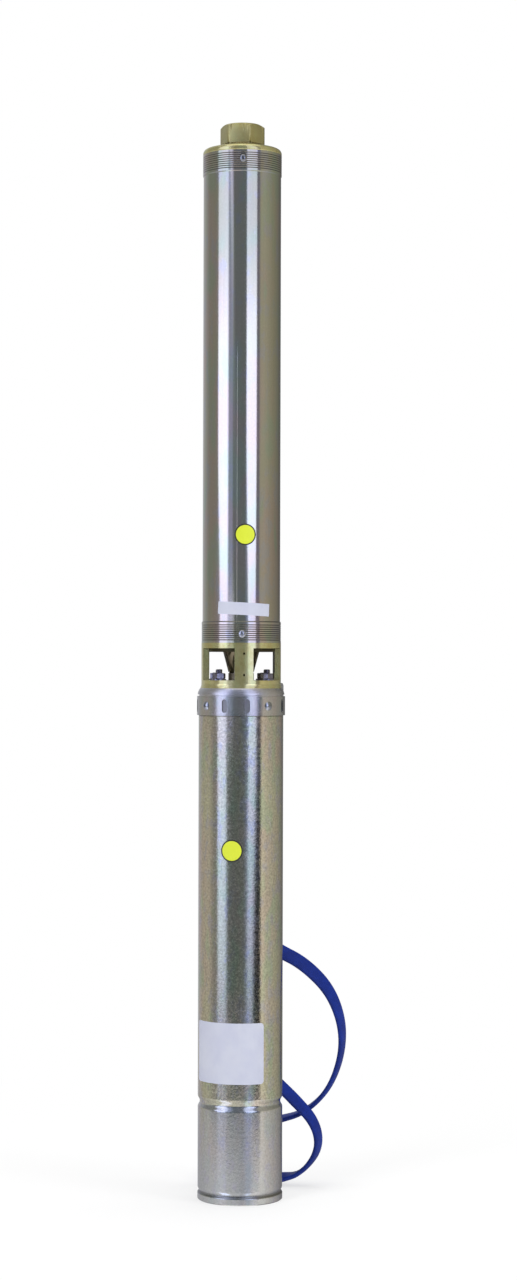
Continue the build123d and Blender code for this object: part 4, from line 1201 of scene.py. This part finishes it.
def soft_stuff(name, light, dark, roughness, scale, grain):
    wire, shader, material = start_finish(name)
    cloud = noise(place_on_piece(wire), scale, 3.0, 0.6)
    fine = noise(place_on_piece(wire), scale * 15, 2.0, 0.5)
    colour = blended(wire, between(cloud, 0.35, 0.65), light, dark)
    rough = roughness + (fine - 0.5) * 0.15
    feed(wire, shader, Base_Color=colour, Roughness=rough,
         Normal=bumped(wire, fine * grain, 0.10 * MM))
    return material


def dot_paper():
    """Yellow paper with a thin dark rim, drawn in the sticker's own flat map."""
    wire, shader, material = start_finish("yellow_dot_paper")
    flat = wire.node("TexCoord", output="UV")
    away = wire.vectors("DISTANCE", {0: flat, 1: (0.5, 0.5, 0.0)}, "Value")
    colour = blended(wire, between(away, 0.435, 0.447), (0.62, 0.70, 0.035), (0.02, 0.02, 0.015))
    feed(wire, shader, Base_Color=colour, Roughness=0.4)
    return material


dress(soft_stuff("lapped_seal", grey(0.14), grey(0.08), 0.25, 120.0, 0.1), "seal_seat", "seal_head")
dress(soft_stuff("black_rubber", grey(0.05), grey(0.025), 0.6, 90.0, 0.6),
      "pressure_membrane", "sand_slinger", "inlet_bush", "top_bush", *sleeves)
dress(soft_stuff("grey_gland_rubber", grey(0.20), grey(0.12), 0.55, 110.0, 0.6),
      "cable_gland", gland, strain_relief)
dress(soft_stuff("filled_plastic", grey(0.12), grey(0.07), 0.45, 160.0, 0.5),
      "top_bearing_holder", "valve_guide", *[f"impeller_{i:02d}" for i in STAGES],
      *[f"stage_bowl_{i:02d}" for i in STAGES])
cable_blue = soft_stuff("blue_cable_sheath", (0.006, 0.026, 0.245), (0.005, 0.020, 0.19), 0.42,
                        70.0, 0.3)
cable_blue.node_tree.nodes["Principled BSDF"].inputs["Specular IOR Level"].default_value = SHEATH_SHEEN
dress(cable_blue, motor_lead, "motor_lead", "lead_coil")
dress(soft_stuff("blank_white_paper", (0.54, 0.56, 0.66), (0.50, 0.52, 0.64), 0.42, 30.0, 0.15),
      *white_stickers)
dress(dot_paper(), *yellow_dots)
print("finishes in all", len(bpy.data.materials))

# %% [markdown]
# ## The floor
# The pump stands on a pale floor that runs on into a white backdrop. One large plane does both: near
# the pump it is lit and takes the shadow, and further off the camera sees plain white instead. Shiny
# surfaces don't see it, because the ring that comes next gives them all their reflections.

# %% Lay the floor
def show(wire, glow, place):
    """Lead a shader to the output node of its material or world."""
    wire.tree.links.new(glow.socket, wire.tree.nodes[place].inputs["Surface"])


floor = start_piece("floor", bpy.ops.mesh.primitive_plane_add, size=14)
floor.visible_glossy = False
wire, shader, floor_paint = start_finish("pale_floor")
feed(wire, shader, Base_Color=grey(0.9), Roughness=0.9, Specular_IOR_Level=0.0)
away = wire.vectors("LENGTH", {0: wire.node("TexCoord", output="Object")}, "Value")
white = wire.node("Emission", None, {"Color": rgba(grey(1.0)), "Strength": 1.0})
whiter = wire.node("LightPath", output="Is Camera Ray") * (0.6 + between(away, 0.12, 0.9) * 0.4)
lit = Wire(wire.tree, shader.outputs[0])
show(wire, wire.node("MixShader", None, {0: whiter, 1: lit, 2: white}), "Material Output")
dress(floor_paint, floor)
print("floor", [round(side, 1) for side in floor.dimensions], "m")

# %% [markdown]
# ## The room in the reflections
# Metal shows its surroundings, so a bright tube is lit by what it mirrors. The room round the pump is
# written here as rounds of colour, each a list of an angle and the colour of the room there: 0 is the
# camera's side and the angle grows to its right. There are three, one for the floor, one for the lower
# room and one for the upper. Two upright soft boxes stand left and right of the camera, with the dark
# room between them. The last list says how bright the boxes are at each height in metres.

# %% Describe the room
BACK = (0.55, 0.56, 0.60)
HIGH_LEFT = (0.26, 0.26, 0.245)
HIGH_RIGHT = (0.42, 0.41, 0.36)
PURPLE = (0.21, 0.205, 0.28)
BLUISH = (0.23, 0.28, 0.43)
LEFT_BLUE = (0.34, 0.38, 0.58)
DARK = (0.16, 0.185, 0.225)

upper_stops = [
    (-180, BACK), (-166, BACK), (-150, (0.45, 0.47, 0.51)), (-130, (0.34, 0.36, 0.38)),
    (-112, HIGH_LEFT), (-84, HIGH_LEFT), (-42, LEFT_BLUE), (-28, LEFT_BLUE),
    (-24, (0.17, 0.20, 0.215)), (-20, DARK), (11, DARK), (14, BLUISH), (44, PURPLE), (52, PURPLE),
    (57, HIGH_RIGHT), (72, HIGH_RIGHT), (88, (0.36, 0.35, 0.30)), (106, (0.30, 0.29, 0.24)),
    (130, (0.22, 0.22, 0.195)), (150, (0.13, 0.13, 0.125)), (170, (0.20, 0.20, 0.21)), (180, BACK),
]
lower_stops = [
    (-180, BACK), (-166, BACK), (-150, (0.44, 0.44, 0.49)), (-138, (0.44, 0.43, 0.45)),
    (-126, (0.43, 0.42, 0.365)), (-95, (0.47, 0.46, 0.42)), (-86, (0.36, 0.355, 0.34)),
    (-76, (0.27, 0.27, 0.28)), (-50, (0.20, 0.21, 0.25)), (-32, (0.15, 0.17, 0.20)),
    (-20, (0.125, 0.15, 0.17)), (-6, (0.13, 0.15, 0.165)), (9, (0.14, 0.165, 0.19)), (16, BLUISH),
    (34, (0.11, 0.13, 0.18)), (40, (0.04, 0.045, 0.06)), (54, (0.02, 0.02, 0.02)),
    (58, (0.79, 0.76, 0.68)), (70, (0.60, 0.58, 0.52)), (90, (0.50, 0.49, 0.44)),
    (110, (0.42, 0.40, 0.355)), (132, (0.30, 0.29, 0.28)), (150, (0.17, 0.17, 0.17)),
    (174, (0.19, 0.19, 0.20)), (180, (0.30, 0.30, 0.32)),
]
floor_stops = [
    (-180, BACK), (-150, (0.42, 0.42, 0.45)), (-115, (0.48, 0.48, 0.52)), (-60, (0.70, 0.70, 0.74)),
    (-35, (0.68, 0.68, 0.72)), (-12, (0.63, 0.63, 0.67)), (4, (0.57, 0.57, 0.63)),
    (26, (0.55, 0.56, 0.62)), (40, (0.86, 0.86, 0.90)), (56, (0.86, 0.86, 0.88)),
    (78, (0.66, 0.66, 0.68)), (105, (0.48, 0.48, 0.50)), (130, (0.33, 0.33, 0.36)),
    (150, (0.20, 0.20, 0.21)), (170, (0.25, 0.25, 0.27)), (180, BACK),
]
box_light = [
    (-1.9, 0.50), (-1.3, 0.02), (-0.62, 0.03), (-0.5, 0.09), (-0.3, 0.32), (-0.1, 0.56),
    (0.36, 0.80), (0.55, 0.86), (0.9, 1.40), (1.48, 1.45), (1.58, 1.12), (1.68, 0.88),
    (1.78, 0.80), (1.95, 0.74), (3.0, 0.7),
]
print("rounds of colour with", [len(stops) for stops in (floor_stops, lower_stops, upper_stops)])

# %% [markdown]
# ## The ring of light
# A tall ring of cloth round the pump carries that room, and only shiny surfaces see it. Lamps with
# real soft boxes would give softer light too, but a painted cloth gives each reflection its exact
# place. The boxes' edges lean a little with height, as those of real ones do in a long tube, so the
# limits of each strip move with two masks of height. Their light comes on top of the room's colours.

# %% Stand the ring
RING_R = 4.0
RING_LOW = -8.0
RING_HIGH = 9.0
FLOOR_FADE = (-0.67, -0.57)
UPPER_FADE = (0.35, 0.75)
LEFT_BOX_FROM, LEFT_BOX_TO = -74, (-44, -37)
RIGHT_BOX_FROM, RIGHT_BOX_TO = 14, (43, 46)
GLINT_SLANT = 17.5
# A stray light: its angles, its heights, how soft these end, and its strength.
STRAY_LIGHTS = [((-40, -21), (0.59, 0.745), 0.02, 0.6), ((41, 54), (0.1, 0.55), 0.2, 0.08)]
LOWER_BOX_TINT = (0.84, 1.03, 1.62)
UPPER_BOX_TINT = (0.90, 0.98, 1.36)
BOX_POWER = 2.0


def ramp(value, stops, low, high):
    """Colour ramp over a value between two limits, with its stops given in the value's units."""
    placed = [((at - low) / (high - low), colour) for at, colour in stops]
    return value.node("ValToRGB", {"stops": placed}, {"Fac": (value - low) / (high - low)})


def room_colour(azimuth, height):
    """The three rounds of colour, each faded into the next one up."""
    rounds = [ramp(azimuth, stops, -180, 180) for stops in (floor_stops, lower_stops, upper_stops)]
    cloth = blended(height, between(height, *FLOOR_FADE), rounds[0], rounds[1])
    return blended(height, between(height, *UPPER_FADE), cloth, rounds[2])


def box_strips(azimuth, height):
    """The two soft boxes, the slanting glint between them and two faint stray lights."""
    lower = 1.0 - between(height, 0.70, 1.20)
    deeper = 1.0 - between(height, -0.2, 0.45)
    left = past(azimuth - lower * 8.0 - deeper * 2.0, LEFT_BOX_FROM, 2.0 + deeper * 2.0)
    left = left * (1.0 - between(azimuth, LEFT_BOX_TO[0], LEFT_BOX_TO[1] + deeper * 5.0))
    left = left * (1.25 - between(height, -0.3, 0.35) * 0.25)
    right = past(azimuth - lower * 6.0 + deeper * 2.0, RIGHT_BOX_FROM, 1.5 + deeper * 2.0)
    beyond = between(azimuth + lower * 2.0 + deeper * 8.5, RIGHT_BOX_TO[0] - deeper * 2.0,
                     RIGHT_BOX_TO[1] + deeper)
    right = right * (1.0 - beyond) * (0.82 + between(height, -0.1, 1.0) * 0.18)
    glint = strip_between(azimuth + (height - 0.75) * GLINT_SLANT + 12.0, -4.0, 4.0, 2.0)
    glint = glint * between(height, 0.2, 1.9) * (0.06 + between(height, 1.5, 2.1) * 0.75)
    light = left + right + glint
    for sides, ends, softness, strength in STRAY_LIGHTS:
        spot = strip_between(azimuth, *sides, 2.0) * strip_between(height, *ends, softness)
        light = light + spot * strength
    return light


ring = start_piece("light_ring", bpy.ops.mesh.primitive_cylinder_add, vertices=128, radius=RING_R,
                   depth=RING_HIGH - RING_LOW, end_fill_type="NOTHING",
                   location=(0, 0, (RING_HIGH + RING_LOW) / 2))
for unseen in ("camera", "diffuse", "shadow", "transmission", "volume_scatter"):
    setattr(ring, f"visible_{unseen}", False)
wire, shader, cloth = start_finish("studio_cloth")
across, depth, height = axes_of(wire)
azimuth = wire.maths("ARCTAN2", across, 0.0 - depth) * (180 / math.pi) - math.degrees(CAMERA_AZIMUTH)
azimuth = wire.maths("WRAP", azimuth, 180.0, -180.0)
# A ramp holds nothing above 1, so the boxes' light is halved in it and doubled after it.
halved = [(level, grey(light / BOX_POWER)) for level, light in box_light]
fade = ramp(height, halved, halved[0][0], halved[-1][0])
boxes = wire.vectors("SCALE", {0: fade, "Scale": box_strips(azimuth, height) * BOX_POWER})
tint = blended(wire, between(height, 0.1, 0.9), LOWER_BOX_TINT, UPPER_BOX_TINT)
tinted = wire.vectors("MULTIPLY", {0: boxes, 1: tint})
total = wire.vectors("ADD", {0: room_colour(azimuth, height), 1: tinted})
show(wire, wire.node("Emission", None, {"Color": total, "Strength": 1.0}), "Material Output")
cloth.cycles.emission_sampling = "NONE"
dress(cloth, ring)
print("ring", RING_R * 2, "m wide, with", len(cloth.node_tree.nodes), "shader nodes")

# %% [markdown]
# ## Lamps and world
# Three large soft lamps light what isn't shiny, and leave the reflections to the ring. The world is
# white where the camera, glass and the open top of the ring see it, and dimmer as a light, so that
# the white backdrop doesn't wash the pump out.

# %% Hang the lamps
AIM = Vector((0, 0, 0.6))
WORLD_LIGHT = 0.55


def soft_lamp(name, place, size, power):
    bpy.ops.object.light_add(type="AREA", location=place)
    lamp = bpy.context.object
    lamp.name = name
    lamp.data.size = size
    lamp.data.energy = power
    lamp.rotation_euler = (AIM - Vector(place)).to_track_quat("-Z", "Y").to_euler()
    lamp.visible_glossy = False
    return lamp


let_go()
lamps = [soft_lamp("lamp_left", (-2.4, -2.6, 2.2), 1.4, 60),
         soft_lamp("lamp_right", (2.6, -2.0, 1.6), 1.4, 40),
         soft_lamp("lamp_top", (0.3, 0.4, 3.2), 1.6, 40)]

world = bpy.data.worlds.new("studio")
bpy.context.scene.world = world
world.use_nodes = True
wire = Wire(world.node_tree)
rays = wire.node("LightPath")
seen = rays.output("Is Camera Ray") + rays.output("Is Glossy Ray")
seen = wire.maths("ADD", seen, rays.output("Is Transmission Ray"), clamp=True)
plain = {"Color": rgba(grey(1.0))}
dim = wire.node("Background", None, {**plain, "Strength": WORLD_LIGHT})
white = wire.node("Background", None, {**plain, "Strength": 1.0})
show(wire, wire.node("MixShader", None, {0: seen, 1: dim, 2: white}), "World Output")
bpy.context.scene.view_settings.view_transform = "Standard"
print("lamps of", sum(lamp.data.energy for lamp in lamps), "W in all")
